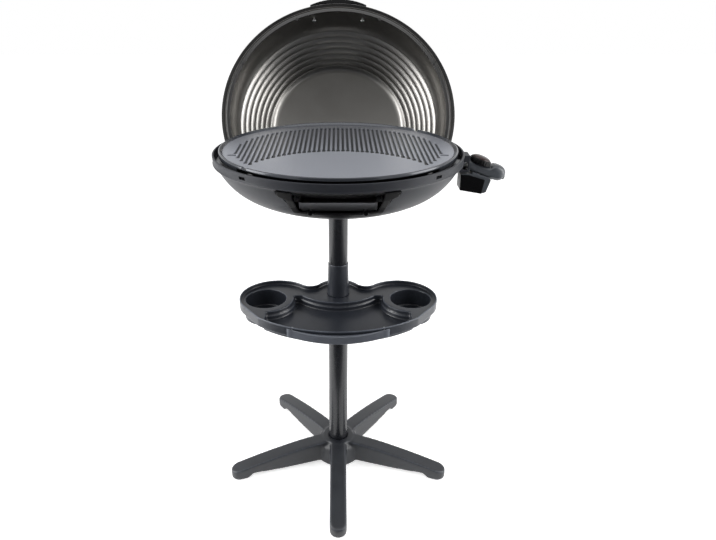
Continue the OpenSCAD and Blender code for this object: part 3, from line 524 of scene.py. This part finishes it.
# %% Lid trim
LIP_R = 0.93 * LID_A
lip = [(LIP_R, -0.5), (LIP_R - 0.9, 0.1), (LIP_R - 0.9, 1.0), (LIP_R, 1.7), (255.2, 1.7), (255.5, 4.4),
       (256.8, 4.4), (256.9, 0.1), (LIP_R + 1.6, 0.0)]
drip_lip = lathe("lid_lip", chaikin(lip, closed=True), LID_A, LID_B, 160, closed=True, matrix=lid_place,
                 arc=(162.5, 377.5))
shown_as(drip_lip, enamel_black, "lid", "lid_sheet", "lid_drip_lip")
handle = soften("lid_grip", "lid_handle", 0.9, 8)
shown_as(handle, phenolic_black, "lid", "black_plastic", "lid_handle", sharp=0)


def pan_screw(head_r, head_h, shaft_r, shaft_l, place):
    """A pan head screw with a cross recess: its head looks along +Z from z = 0, its shaft runs the other way."""
    profile = [(0, head_h), (head_r * 0.5, head_h * 0.97), (head_r * 0.85, head_h * 0.75), (head_r, head_h * 0.3),
               (head_r, 0), (shaft_r, 0), (shaft_r, -shaft_l + 1), (shaft_r * 0.6, -shaft_l), (0, -shaft_l)]
    screw = lathe("screw", profile, 1, 1, 32)
    w, l = head_r * 0.16, head_r * 0.55
    bars = [prism([(-x, -y), (x, -y), (x, y), (-x, y)], head_h * 0.45, head_h + 1) for x, y in ((w, l), (l, w))]
    cut(screw, *bars)
    screw.data.transform(place)
    return screw


SCREW_X, SCREW_Y, SCREW_Z = 57, -233.6, 40
inwards = Matrix.Rotation(math.radians(-90), 4, "X")
screw_spots = [Matrix.Translation((s * SCREW_X * MM, SCREW_Y * MM, SCREW_Z * MM)) for s in (-1, 1)]
lid_screws = merged("lid_grip_screws", [pan_screw(5, 2.6, 2.3, 24, lid_place @ spot @ inwards)
                                        for spot in screw_spots])
shown_as(lid_screws, zinc_plate, "lid", "steel", "lid_handle_screws", sharp=30)

# %% [markdown]
# ## The bowl
# The bowl is a deep oval moulding: a rolled rim, an upright band, a small bead below it, and a flank that curves in
# to the pole's socket. The front is cut away for the drip drawer. Booleans make the openings, as the tool's slides
# make them in the mould.

# %% Bowl
BOWL_A, BOWL_B, BOWL_H = 255.4, 239, 118
POLE_HOLE_R, WALL_IN, WALL_UP = 27.3, 5, 3


def flank(t):
    """Radius and height of the flank at t, from the band (0) to the pole's socket (1)."""
    return (bezier(t, BOWL_A - 6.4, BOWL_A - 32, BOWL_A - 62, BOWL_A - 193),
            RIM_Z + bezier(t, -19.5, -70, -98, -BOWL_H))


down = [flank(t) for t in np.linspace(0, 1, 22)]
outer = [(BOWL_A - 3.6, RIM_Z), (BOWL_A - 0.9, RIM_Z), (BOWL_A, RIM_Z - 1.2), (BOWL_A - 0.9, RIM_Z - 8),
         (BOWL_A - 1.3, RIM_Z - 14.6), (BOWL_A - 0.4, RIM_Z - 15.6), (BOWL_A - 0.3, RIM_Z - 17.0),
         (BOWL_A - 2.2, RIM_Z - 18.4)] + down + [(POLE_HOLE_R, RIM_Z - BOWL_H)]
inner = [(POLE_HOLE_R, RIM_Z - BOWL_H + WALL_UP)]
inner += [(r - WALL_IN, z + WALL_UP) for r, z in down[::-1] if z < RIM_Z - 25]
inner += [(BOWL_A - 18, RIM_Z - 21.5), (BOWL_A - 18, RIM_Z - 17.5), (BOWL_A - 4.7, RIM_Z - 17.5),
          (BOWL_A - 4.2, RIM_Z - 1)]
bowl = lathe("bowl_shell", chaikin(outer + inner, closed=True), BOWL_A, BOWL_B, 224, closed=True)

SLOT_TOP, DRIP_LOW = RIM_Z - 18.5, RIM_Z - 71.3
half_slot = [(114, SLOT_TOP), (110, SLOT_TOP - 14), (95, SLOT_TOP - 20), (84, DRIP_LOW + 3), (78, DRIP_LOW - 5)]
slot_outline = [(-x, z) for x, z in half_slot] + half_slot[::-1]
facing = Matrix.Rotation(math.radians(90), 4, "X")
slot_tool = prism(chaikin(slot_outline, closed=True), 100, 300, facing)
VENT_TURNS = (-135, -42)
vents = [block(200, 280, -8, 8, RIM_Z - 12, RIM_Z - 6, Matrix.Rotation(math.radians(turn), 4, "Z"))
         for turn in VENT_TURNS]
NOSE_X, NOSE_Z = BOWL_A + 13, RIM_Z - 26.5
socket = block(BOWL_A - 35, BOWL_A + 25, -15, 15, NOSE_Z - 13, NOSE_Z + 13)
cut(bowl, slot_tool, *vents, socket)
shown_as(bowl, pbt_graphite, "grill_head", "graphite_plastic", "bowl", sharp=32)
shroud = soften("control_socket", "terminal_shroud", 0.6, 4)
shown_as(shroud, pbt_graphite, "grill_head", "graphite_plastic", "terminal_shroud", sharp=0)

# %% [markdown]
# ## The grill plate
# The plate is one casting: a raised rim, a field of ribs, and a smooth half-moon at the front for food that would
# fall between ribs. The rim could be cast in one with the deck here too, but turned on its own it gets every
# radius of its profile. Two notches in it are for lifting the plate out.

# %% Plate rim
rim = [(PLATE_A - 17, UNDER_Z), (PLATE_A - 17, DECK_Z - 0.6), (PLATE_A - 9.5, DECK_Z - 0.4),
       (PLATE_A - 8, DECK_Z + 0.3), (PLATE_A - 5.6, DECK_Z + 2.6), (PLATE_A - 4.4, PLATE_Z - 0.5),
       (PLATE_A - 2.9, PLATE_Z), (PLATE_A - 1.2, PLATE_Z - 0.2), (PLATE_A - 0.1, PLATE_Z - 1.6),
       (PLATE_A, PLATE_Z - 5), (PLATE_A - 0.5, UNDER_Z), (PLATE_A - 2, UNDER_Z - 2), (PLATE_A - 9, UNDER_Z - 2),
       (PLATE_A - 10, UNDER_Z)]
plate_rim = lathe("plate_rim", chaikin(rim, closed=True), PLATE_A, PLATE_B, 240, closed=True)
NOTCHES = ((-175, -166), (166, 145))
notches = []
for x, y in NOTCHES:
    place = Matrix.Translation((x * MM, y * MM, 0)) @ Matrix.Rotation(math.atan2(y, x), 4, "Z")
    notches.append(block(-14, 26, -7, 7, DECK_Z + 0.1, PLATE_Z + 9, place))
cut(plate_rim, *notches)
print("plate rim", len(plate_rim.data.polygons), "faces")

# %% [markdown]
# ## The plate's deck
# The deck is a height field: a grid of points whose heights come from a formula. Its ribs end along two curves and
# have soft, cast shoulders, which a formula gives exactly and booleans don't. The columns of the grid stand where a
# groove's profile bends, so few are needed. Each groove is widest and deepest at its open front end.

# %% Deck grid
PITCH, GROOVE_D, PIT_D, HALF = 9.7, 2.8, 3.6, PLATE_A - 33
BENDS = (-3.7, -2.9, -1.5, 1.5, 2.9, 3.7)
xs = np.array([k * PITCH + bend for k in range(-25, 26) for bend in BENDS])
ys = np.arange(-97, 98) * 2.3
X, Y = np.meshgrid(xs, ys, indexing="ij")
line = np.round(X / PITCH) * PITCH
inside_field = np.abs(line) < HALF - 4
near = np.minimum(np.abs(line), HALF - 1)
oval = np.sqrt(1 - (near / HALF) ** 2)
moon = np.where(near < MOON_R, MOON_Y + np.sqrt(np.maximum(0, MOON_R ** 2 - near ** 2)), -PLATE_B)
front = np.maximum(moon, -(PLATE_B - 14.5) * oval)
back = (PLATE_B - 40.5) * oval
print("grid", X.shape)

# %% Deck heights


def step(edge0, edge1, v):
    """0 below the first edge, 1 above the second, and a smooth rise between."""
    t = np.clip((v - edge0) / (edge1 - edge0), 0, 1)
    return t * t * (3 - 2 * t)


groove = 1 - step(1.5, 2.9, np.abs(X - line))
groove = groove * step(0, 1.5, Y - front) * step(0, 4, back - Y) * inside_field
pit = (1 - step(2.8, 3.7, np.abs(X - line))) * step(0, 1.5, Y - front) * (1 - step(12, 14, Y - front))
pit = pit * inside_field
SAG, DECK_THICK = 0.8, 4.5
sag = SAG * step(0.0, 1.0, 1 - (X / PLATE_A) ** 2 - (Y / PLATE_B) ** 2)
Z = DECK_Z - np.maximum(GROOVE_D * groove, PIT_D * pit) - sag
SLOT_X, SLOT_Y, SLOT_HALF, SLOT_WIDE = 208, -57.5, 9, 2.6
in_slot = (np.abs(np.abs(X) - SLOT_X) < SLOT_HALF) & (np.abs(Y - SLOT_Y) < SLOT_WIDE)
Z = np.where(in_slot, UNDER_Z + 0.5, Z)
print("deck heights from", round(Z.min(), 1), "to", round(Z.max(), 1), "mm")

# %% Deck mesh and feet
keep = (X / (PLATE_A - 7)) ** 2 + (Y / (PLATE_B - 7)) ** 2 < 1
number = -np.ones(X.shape, int)
number[keep] = np.arange(keep.sum())
top = np.c_[X[keep], Y[keep], Z[keep]]
quads = np.stack([number[:-1, :-1], number[1:, :-1], number[1:, 1:], number[:-1, 1:]], -1).reshape(-1, 4)
quads = quads[(quads >= 0).all(1)]
plate_deck = to_mesh("plate_deck", top.tolist(), quads.tolist())
faces_up = plate_deck.data.polygons[0].normal.z > 0
thick = plate_deck.modifiers.new("thick", "SOLIDIFY")
thick.thickness, thick.offset = DECK_THICK * MM, -1 if faces_up else 1
bake(plate_deck)
FOOT_TURNS = (45, 135, 225, 315)
feet = []
for turn in FOOT_TURNS:
    foot = lathe("foot", [(0, RIM_Z - 16), (3.2, RIM_Z - 16), (4, RIM_Z - 15), (4, UNDER_Z + 1),
                          (0, UNDER_Z + 1)], 1, 1, 24)
    foot.data.transform(Matrix.Rotation(math.radians(turn), 4, "Z") @ Matrix.Translation(((PLATE_B - 7) * MM, 0, 0)))
    feet.append(foot)
plate = merged("grill_plate_casting", [plate_rim, plate_deck] + feet)
shown_as(plate, nonstick, "plate", "plate_coating", "grill_plate", sharp=50)

# %% [markdown]
# ## The drip drawer
# A shallow pan of drawn aluminium slides under the reflector. Drawing leaves a radius in every corner, so the pan
# is a loft of rounded rectangles: down the outside, round the bottom, and up the inside. Its front leans forward.

# %% Drip pan
DRIP_TOP = DRIP_LOW + 24
PAN_FRONT, PAN_REAR, PAN_HALF, LEAN = -179, 61, 72, 0.75
CORNER_R, CORNER_STEPS = 9, 6


def rounded_box_loop(inset, z):
    """A rounded rectangle of the pan at height z. The front edge moves forward as the pan gets higher."""
    front, rear, half = PAN_FRONT - (z - DRIP_LOW) * LEAN + inset, PAN_REAR - inset, PAN_HALF - inset
    r, loop = CORNER_R, []
    for cx, cy, turn in ((half - r, rear - r, 0), (-half + r, rear - r, 90), (-half + r, front + r, 180),
                         (half - r, front + r, 270)):
        for k in range(CORNER_STEPS + 1):
            t = math.radians(turn + 90 * k / CORNER_STEPS)
            loop.append((cx + r * math.cos(t), cy + r * math.sin(t), z))
    return loop


pan_steps = [(7, 0), (3.2, 0.6), (1.0, 2.4), (0, 5.5), (0, 22.8), (0.1, 23.8), (0.6, 24), (1.1, 23.8), (1.2, 22.5),
             (1.2, 6), (2.2, 3.4), (4.2, 1.8), (8, 1.2)]
pan = loft("pan", [rounded_box_loop(inset, DRIP_LOW + up) for inset, up in pan_steps])
runners = [block(x0, x1, -178, 60, DRIP_TOP - 1.4, DRIP_TOP - 0.1) for x0, x1 in ((-78, -71.4), (71.4, 78))]
drip_pan = merged("drip_pan", [pan] + runners)
shown_as(drip_pan, pan_aluminium, "drip_drawer", "drip_metal", "drip_tray", sharp=35)

# %% [markdown]
# ## The foot
# The foot is one thick moulding with five legs, and its legs flow into its hub. Modelling such blends by hand takes
# long, so it is a rounded copy of its CAD solid. A web round the hub and a skirt under each leg join it before the
# smoothing, which blends them in.

# %% Foot
LEGS, SKIRT_HALF, SKIRT_TOP = 5, 18.5, 26
SKIRT_STEPS = ((30, 8), (110, 8.5), (180, 10.5), (222, 14))
webs = [lathe("web", [(24, 8), (54, 8), (52, 40), (49, 52), (41, 58), (24, 58)], 1, 1, 64, closed=True)]
for k in range(LEGS):
    skirt = loft("skirt", [[(r, -SKIRT_HALF, low), (r, SKIRT_HALF, low), (r, SKIRT_HALF, SKIRT_TOP),
                            (r, -SKIRT_HALF, SKIRT_TOP)] for r, low in SKIRT_STEPS])
    skirt.data.transform(Matrix.Rotation(math.radians(360 / LEGS * k - 90), 4, "Z"))
    webs.append(skirt)
foot = soften("pedestal_foot", "star_foot", 2.0, 22, extra=webs)
shown_as(foot, polypropylene, "stand", "foot_plastic", "star_foot", sharp=0)

# %% [markdown]
# ## Mouldings that are rounded copies
# The tray, the pole's sleeve and collar, the drawer's grip, the switch box and the hinge's parts are rounded copies
# of their CAD solids too. The voxel is as small as the finest wall needs, and the number of smoothing rounds sets
# the radius. The drawer's grip loses the tops of its two posts, which would stand in front of the pan.

# %% Tray, drawer grip, switch box and hinge
POST_XS, POST_HALF = (-50, 50), 9
# name, CAD node, voxel, rounds, share of faces kept, material, body, slot
mouldings = [
    ("side_tray", "tray", 1.5, 5, 0.35, abs_charcoal, "stand", "charcoal_plastic"),
    ("pole_sleeve", "tube_sleeve", 1.0, 5, 0.4, abs_charcoal, "stand", "charcoal_plastic"),
    ("under_collar", "tray_collar", 1.0, 5, 0.4, abs_charcoal, "stand", "charcoal_plastic"),
    ("drawer_grip", "drip_tray_handle", 0.8, 8, 0.4, phenolic_black, "drip_drawer", "black_plastic"),
    ("switch_box", "control_box", 0.7, 5, 0.4, nylon_charcoal, "control", "charcoal_plastic"),
    ("switch_box_face", "control_box_cover", 0.5, 4, 0.4, phenolic_black, "control", "black_plastic"),
    ("hinge_block_left", "hinge_bracket_left", 0.8, 5, 0.4, abs_charcoal, "grill_head", "charcoal_plastic"),
    ("hinge_block_right", "hinge_bracket_right", 0.8, 5, 0.4, abs_charcoal, "grill_head", "charcoal_plastic"),
    ("hinge_arm_left", "lid_arm_left", 0.6, 4, 0.5, arm_coat, "lid", "pole_paint"),
    ("hinge_arm_right", "lid_arm_right", 0.6, 4, 0.5, arm_coat, "lid", "pole_paint"),
]
for name, node, voxel, rounds, kept, material, body, slot in mouldings:
    piece = soften(name, node, voxel, rounds, kept)
    if name == "drawer_grip":
        cut(piece, *[block(x - POST_HALF, x + POST_HALF, -290, -150, DRIP_LOW + 7.3, DRIP_LOW + 17)
                     for x in POST_XS])
    shown_as(piece, material, body, slot, node, sharp=0)

# %% [markdown]
# ## The tray's grip
# A bowed bar stands in front of the tray, thick in the middle and thin at its ends. Its plan lies between two
# circles, the tray's front and the bar's own. A rounded copy would lose its thin ends, so it is lofted from rounded
# cross sections along X. A narrow gap to the tray, widest in the middle, gives the dark line that sets it off.

# %% Tray grip
GRIP_HALF, GRIP_LOW, GRIP_HIGH = 104, 452, 470.5
TRAY_BOW_R, TRAY_BOW_Y, GRIP_BOW_R, GRIP_BOW_Y = 263, 72.8, 176, -26
GAP, THINNEST, ROUNDING = 4.2, 1.4, 2.6
grip_loops = []
for x in np.linspace(-GRIP_HALF, GRIP_HALF, 61):
    inner_y = TRAY_BOW_Y - math.sqrt(TRAY_BOW_R ** 2 - x * x) - GAP * (1 - (x / GRIP_HALF) ** 2)
    outer_y = min(GRIP_BOW_Y - math.sqrt(GRIP_BOW_R ** 2 - x * x), inner_y - THINNEST)
    r = min(ROUNDING, (inner_y - outer_y) * 0.45)
    corners = [(outer_y + r, GRIP_LOW + r, 180), (inner_y - r, GRIP_LOW + r, 270),
               (inner_y - r, GRIP_HIGH - r, 0), (outer_y + r, GRIP_HIGH - r, 90)]
    grip_loops.append([(x, y + r * math.cos(math.radians(turn + 22.5 * k)),
                        z + r * math.sin(math.radians(turn + 22.5 * k)))
                       for y, z, turn in corners for k in range(5)])
tray_grip = loft("tray_grip", grip_loops)
shown_as(tray_grip, grip_graphite, "stand", "graphite_plastic", "tray_front_rail", sharp=40)

# %% [markdown]
# ## The control's arm
# The control's housing droops by 20 degrees and ends in a round bulb. Its two halves show as one smooth moulding
# here. Booleans of boxes and balls would leave creases, so it is lofted through sections that go from a rounded box
# to an ellipse: the power of a superellipse sets how square each one is.

# %% Control arm
DROOP = 20
droop = Matrix.Translation((NOSE_X * MM, 0, (NOSE_Z + 3) * MM)) @ Matrix.Rotation(math.radians(DROOP), 4, "Y")
SQUARE, OVAL, ARM_FLAT, BULB = 3.5, 2.2, 44, 38
# x along the arm, top, bottom and half width of each section
arm_steps = [(-1.5, 3.4, -13.4, 13.4), (-0.6, 4, -14, 14), (8, 4, -15, 15.5), (25, 4, -16, 16.5), (44, 4, -17, 16.8),
             (46.6, 5, -17.2, 16.9), (49, 9, -17.3, 17), (52, 12.5, -17.6, 17.2), (58, 14, -18, 17.5),
             (65, 14, -18, 17.5), (71, 13.2, -17.2, 16.7), (75, 11.4, -15.4, 15), (78, 8.8, -12.8, 12.4),
             (80.4, 5.6, -9.6, 9), (82, 2, -6, 5), (82.6, -1, -3, 1)]
arm_loops = []
for x, top, bottom, half in arm_steps:
    power = 2 / (SQUARE - (SQUARE - OVAL) * max(0, x - ARM_FLAT) / BULB)
    loop = []
    for t in np.linspace(0, 2 * math.pi, 64, endpoint=False):
        c, s = math.cos(t), math.sin(t)
        loop.append((x, half * math.copysign(abs(c) ** power, c),
                     (top + bottom) / 2 + (top - bottom) / 2 * math.copysign(abs(s) ** power, s)))
    arm_loops.append(loop)
control_arm = loft("control_arm", arm_loops, droop)
cut(control_arm, block(-3, 21, -12.3, 12.3, -11, 1.8, droop))
shown_as(control_arm, nylon_charcoal, "control", "charcoal_plastic", "control_housing_upper",
         "control_housing_lower", sharp=35)

# %% [markdown]
# ## Knob, pointer and lens
# The knob is turned, with shallow flutes for the fingers. Cutting each flute would leave sharp ridges, and a cosine
# wave on the radius makes them all soft. A tinted dome covers its top, and a bright mark on its side is the pointer.

# %% Knob
KNOB_X, KNOB_LOW, FLUTES, FLUTE_DEPTH = 23, 4.3, 24, 0.03
knob_place = droop @ Matrix.Translation((KNOB_X * MM, 0, KNOB_LOW * MM))


def flutes(t, z):
    """How much of its radius the knob keeps at turn t and height z. The flutes fade out at both ends."""
    fade = min(1, max(0, (z - 1.4) / 1.5)) * min(1, max(0, (9.6 - z) / 1.5))
    return 1 - FLUTE_DEPTH * fade * (0.5 + 0.5 * math.cos(FLUTES * t)) ** 2


knob_profile = [(3.2, 0.2), (22.6, 0.2), (23.4, 1.0), (23.4, 2.0), (23.2, 3.2), (22.8, 5), (22.4, 6.6), (21.8, 8),
                (21.2, 9), (20.2, 9.8), (19.2, 10.2), (18.9, 9.8), (18.9, 8.6), (3.2, 8.6)]
knob = lathe("control_knob_grip", knob_profile, 1, 1, 192, closed=True, matrix=knob_place, wave=flutes)
shown_as(knob, phenolic_black, "knob", "black_plastic", "control_knob", sharp=35)
print("knob size mm:", [round(v / MM) for v in knob.dimensions])

# %% Pointer and lens
POINTER_TURN = -35
LENS_R, DOME_Z, DOME_H = 18.6, 10.2, 5.2
pointer = block(20.5, 23.5, -1.7, 1.7, 1.2, 7.2, knob_place @ Matrix.Rotation(math.radians(POINTER_TURN), 4, "Z"))
pointer.name = "knob_pointer"
shown_as(pointer, polished_trim, "knob", "steel")
lens_profile = [(0, 8.7), (18.4, 8.7), (LENS_R, 9.1), (LENS_R, DOME_Z)]
lens_profile += [(LENS_R * math.cos(t), DOME_Z + DOME_H * math.sin(t)) for t in np.linspace(0.12, math.pi / 2, 9)]
lens = lathe("pilot_lens", lens_profile, 1, 1, 64, matrix=knob_place)
shown_as(lens, lamp_lens, "knob", "lens", "indicator_lens", sharp=35)

# %% [markdown]
# ## CAD nodes that keep their shape
# The rest are parts whose CAD shape is already right: tubes, pins, screws, the heater and its reflector. New meshes
# would add nothing, so they keep theirs and get the finish of the real ones.

# %% Finishes of the CAD nodes
finishes = {
    powder_coat: ["lower_tube", "upper_tube"],
    nitrile_rubber: ["foot_pads", "lid_bumpers", "cord_gland"],
    zinc_plate: ["hub_bolt", "hub_washer", "collar_screw", "tray_rail_screws", "socket_screws", "hinge_pins",
                 "lid_stops", "hinge_bracket_screws", "drip_tray_screws", "lid_arm_rivets", "probe_rod",
                 "terminal_pins", "bimetal_switch", "control_screws", "knob_shaft", "element_clips", "drip_rails"],
    aluminised_steel: ["heat_reflector", "tube_plug"],
    oxide_sheath: ["heating_element"],
    phenolic_black: ["terminal_block", "contact_block"],
    abs_charcoal: ["head_socket"],
}
for material, names in finishes.items():
    for name in names:
        if not nodes[name].material_slots:
            nodes[name].data.materials.append(material)
        for entry in nodes[name].material_slots:
            entry.material = material
print("finished", sum(len(v) for v in finishes.values()), "CAD nodes")

# %% [markdown]
# ## The floor
# The floor is a plain, pale plane. It looks white to the camera and in reflections, because a little emission is
# added for those rays only; the object's shadow still darkens the rest. As a light it is plain paper. The Light Path
# node tells the kinds of rays apart, and one helper picks them out for the floor and for the world.

# %% Floor
FLOOR = 9000
WHITE_FLOOR = 0.65


def seen_directly(tree):
    """1 for rays from the camera, through glass or off a gloss, 0 for rays that light things."""
    ray = add(tree, "ShaderNodeLightPath").outputs
    seen = ray["Is Camera Ray"]
    for kind in ("Is Transmission Ray", "Is Glossy Ray"):
        seen = add(tree, "ShaderNodeMath", {"operation": "MAXIMUM"}, _0=seen, _1=ray[kind]).outputs[0]
    return seen


floor = to_mesh("floor", [(-FLOOR, -FLOOR, 0), (FLOOR, -FLOOR, 0), (FLOOR, FLOOR, 0), (-FLOOR, FLOOR, 0)],
                [(0, 1, 2, 3)])
# Uncoated paper: matt, and cloudy by a shade
paper, tree, shader, place = blank("Pale_paper_floor", Roughness=0.8)
fibre = add(tree, "ShaderNodeTexNoise", None, Vector=place, Scale=grains(40), Detail=3.0)
tree.links.new(spread(tree, fibre.outputs[0], "#f2f2f2", "#f6f6f6"), shader.inputs["Base Color"])
strength = add(tree, "ShaderNodeMapRange", None, Value=seen_directly(tree), To_Max=WHITE_FLOOR)
flash = add(tree, "ShaderNodeEmission", None, Strength=strength.outputs[0])
both = add(tree, "ShaderNodeAddShader", None, _0=shader.outputs[0], _1=flash.outputs[0])
tree.links.new(both.outputs[0], tree.nodes["Material Output"].inputs["Surface"])
floor.data.materials.append(paper)
print("floor", round(floor.dimensions.x), "m wide")

# %% [markdown]
# ## Dark cards
# In a studio, black cards in front of a shiny thing give it dark bands between the bright ones. Two cards do that
# here, one upright and one on the floor. Only glossy rays see them, so they cast no shadow and never show. The
# upright one gets paler with height, as cloth does under a lamp, which shades the lid from bottom to top.

# %% Dark cards
# Black cloth, which a lamp above greys towards its top: a dark reflection with a soft upper edge
cloth, tree, shader, place = blank("Black_studio_cloth", Roughness=0.9, Base_Color=colour("#101010"))
weave = add(tree, "ShaderNodeTexNoise", None, Vector=place, Scale=grains(5), Detail=2.0)
across = add(tree, "ShaderNodeSeparateXYZ", None, Vector=place)
upward = add(tree, "ShaderNodeMapRange", None, Value=across.outputs["Z"], From_Min=0.1, From_Max=4.5, To_Min=0.01,
             To_Max=0.42)
faint = add(tree, "ShaderNodeEmission", None, Color=spread(tree, weave.outputs[0], "#f0f0f0", "#ffffff"),
            Strength=upward.outputs[0])
tree.links.new(faint.outputs[0], tree.nodes["Material Output"].inputs["Surface"])
FLAG_HALF, FLAG_LOW, FLAG_HIGH, CARD_Y = 1500, 100, 4500, -2300
MAT_HALF, MAT_REAR, MAT_Z = 1300, -300, 2
flag = to_mesh("flag", [(-FLAG_HALF, CARD_Y, FLAG_LOW), (FLAG_HALF, CARD_Y, FLAG_LOW), (FLAG_HALF, CARD_Y, FLAG_HIGH),
                        (-FLAG_HALF, CARD_Y, FLAG_HIGH)], [(0, 1, 2, 3)])
mat = to_mesh("dark_mat", [(-MAT_HALF, CARD_Y, MAT_Z), (MAT_HALF, CARD_Y, MAT_Z), (MAT_HALF, MAT_REAR, MAT_Z),
                           (-MAT_HALF, MAT_REAR, MAT_Z)], [(0, 1, 2, 3)])
for card in (flag, mat):
    card.data.materials.append(cloth)
    card.visible_camera = card.visible_diffuse = card.visible_shadow = card.visible_transmission = False
print("cards:", flag.name, mat.name)

# %% [markdown]
# ## The world
# The world is white where something looks at it, and dimmer as a light, so the lamps shape the object. A backdrop
# would do the same, but it would need lamps of its own.

# %% World
WORLD_AS_LIGHT = 0.45
world = bpy.data.worlds.new("studio")
bpy.context.scene.world = world
world.use_nodes = True
sky = world.node_tree
sky.nodes.clear()
level = add(sky, "ShaderNodeMapRange", None, Value=seen_directly(sky), To_Min=WORLD_AS_LIGHT, To_Max=1.0)
glow = add(sky, "ShaderNodeBackground", None, Color=(1, 1, 1, 1), Strength=level.outputs[0])
add(sky, "ShaderNodeOutputWorld", None, Surface=glow.outputs[0])
print("world:", world.name)

# %% [markdown]
# ## The lamps
# Two tall soft boxes stand left and right, as in a product studio: they draw the bright edges of the pole, the rim
# and the rings. A large, weak one hangs above. Small, hard lamps would give dots of light instead of these bands.

# %% Lamps


def soft_box(name, place, aim, width, height, watts):
    """A soft box at a place in metres, turned to look at its aim."""
    lamp = bpy.data.lights.new(name, "AREA")
    lamp.shape, lamp.size, lamp.size_y, lamp.energy = "RECTANGLE", width, height, watts
    thing = bpy.data.objects.new(name, lamp)
    bpy.context.scene.collection.objects.link(thing)
    thing.location = place
    thing.rotation_euler = (Vector(aim) - Vector(place)).to_track_quat("-Z", "Y").to_euler()
    return thing


soft_box("box_left", (-1.9, -0.35, 1.15), (0, 0, 0.75), 1.1, 1.9, 44)
soft_box("box_right", (1.9, -0.35, 1.15), (0, 0, 0.75), 1.1, 1.9, 38)
soft_box("box_top", (0, -0.3, 2.6), (0, 0, 0.7), 2.0, 1.4, 14)
print("lamps ready")

# %% [markdown]
# ## Camera
# The camera looks down at the grill by about 25 degrees from a bit above the open lid's edge. A lens of 31.8 mm on
# a 36 mm sensor gives the strong taper of the pole.

# %% Camera
SENSOR, LENS, SHIFT = 36, 31.807, 0.02765
STAND_BACK, EYE_HEIGHT, LOOK_DOWN = 1.276, 1.1155, 24.94
camera = bpy.data.cameras.new("camera")
camera.sensor_width, camera.lens, camera.shift_x = SENSOR, LENS, SHIFT
view = bpy.data.objects.new("camera", camera)
bpy.context.scene.collection.objects.link(view)
view.location = (0, -STAND_BACK, EYE_HEIGHT)
view.rotation_euler = (math.radians(90 - LOOK_DOWN), 0, 0)
bpy.context.scene.camera = view
bpy.context.scene.view_settings.view_transform = "Standard"
print("camera", camera.lens, "mm")
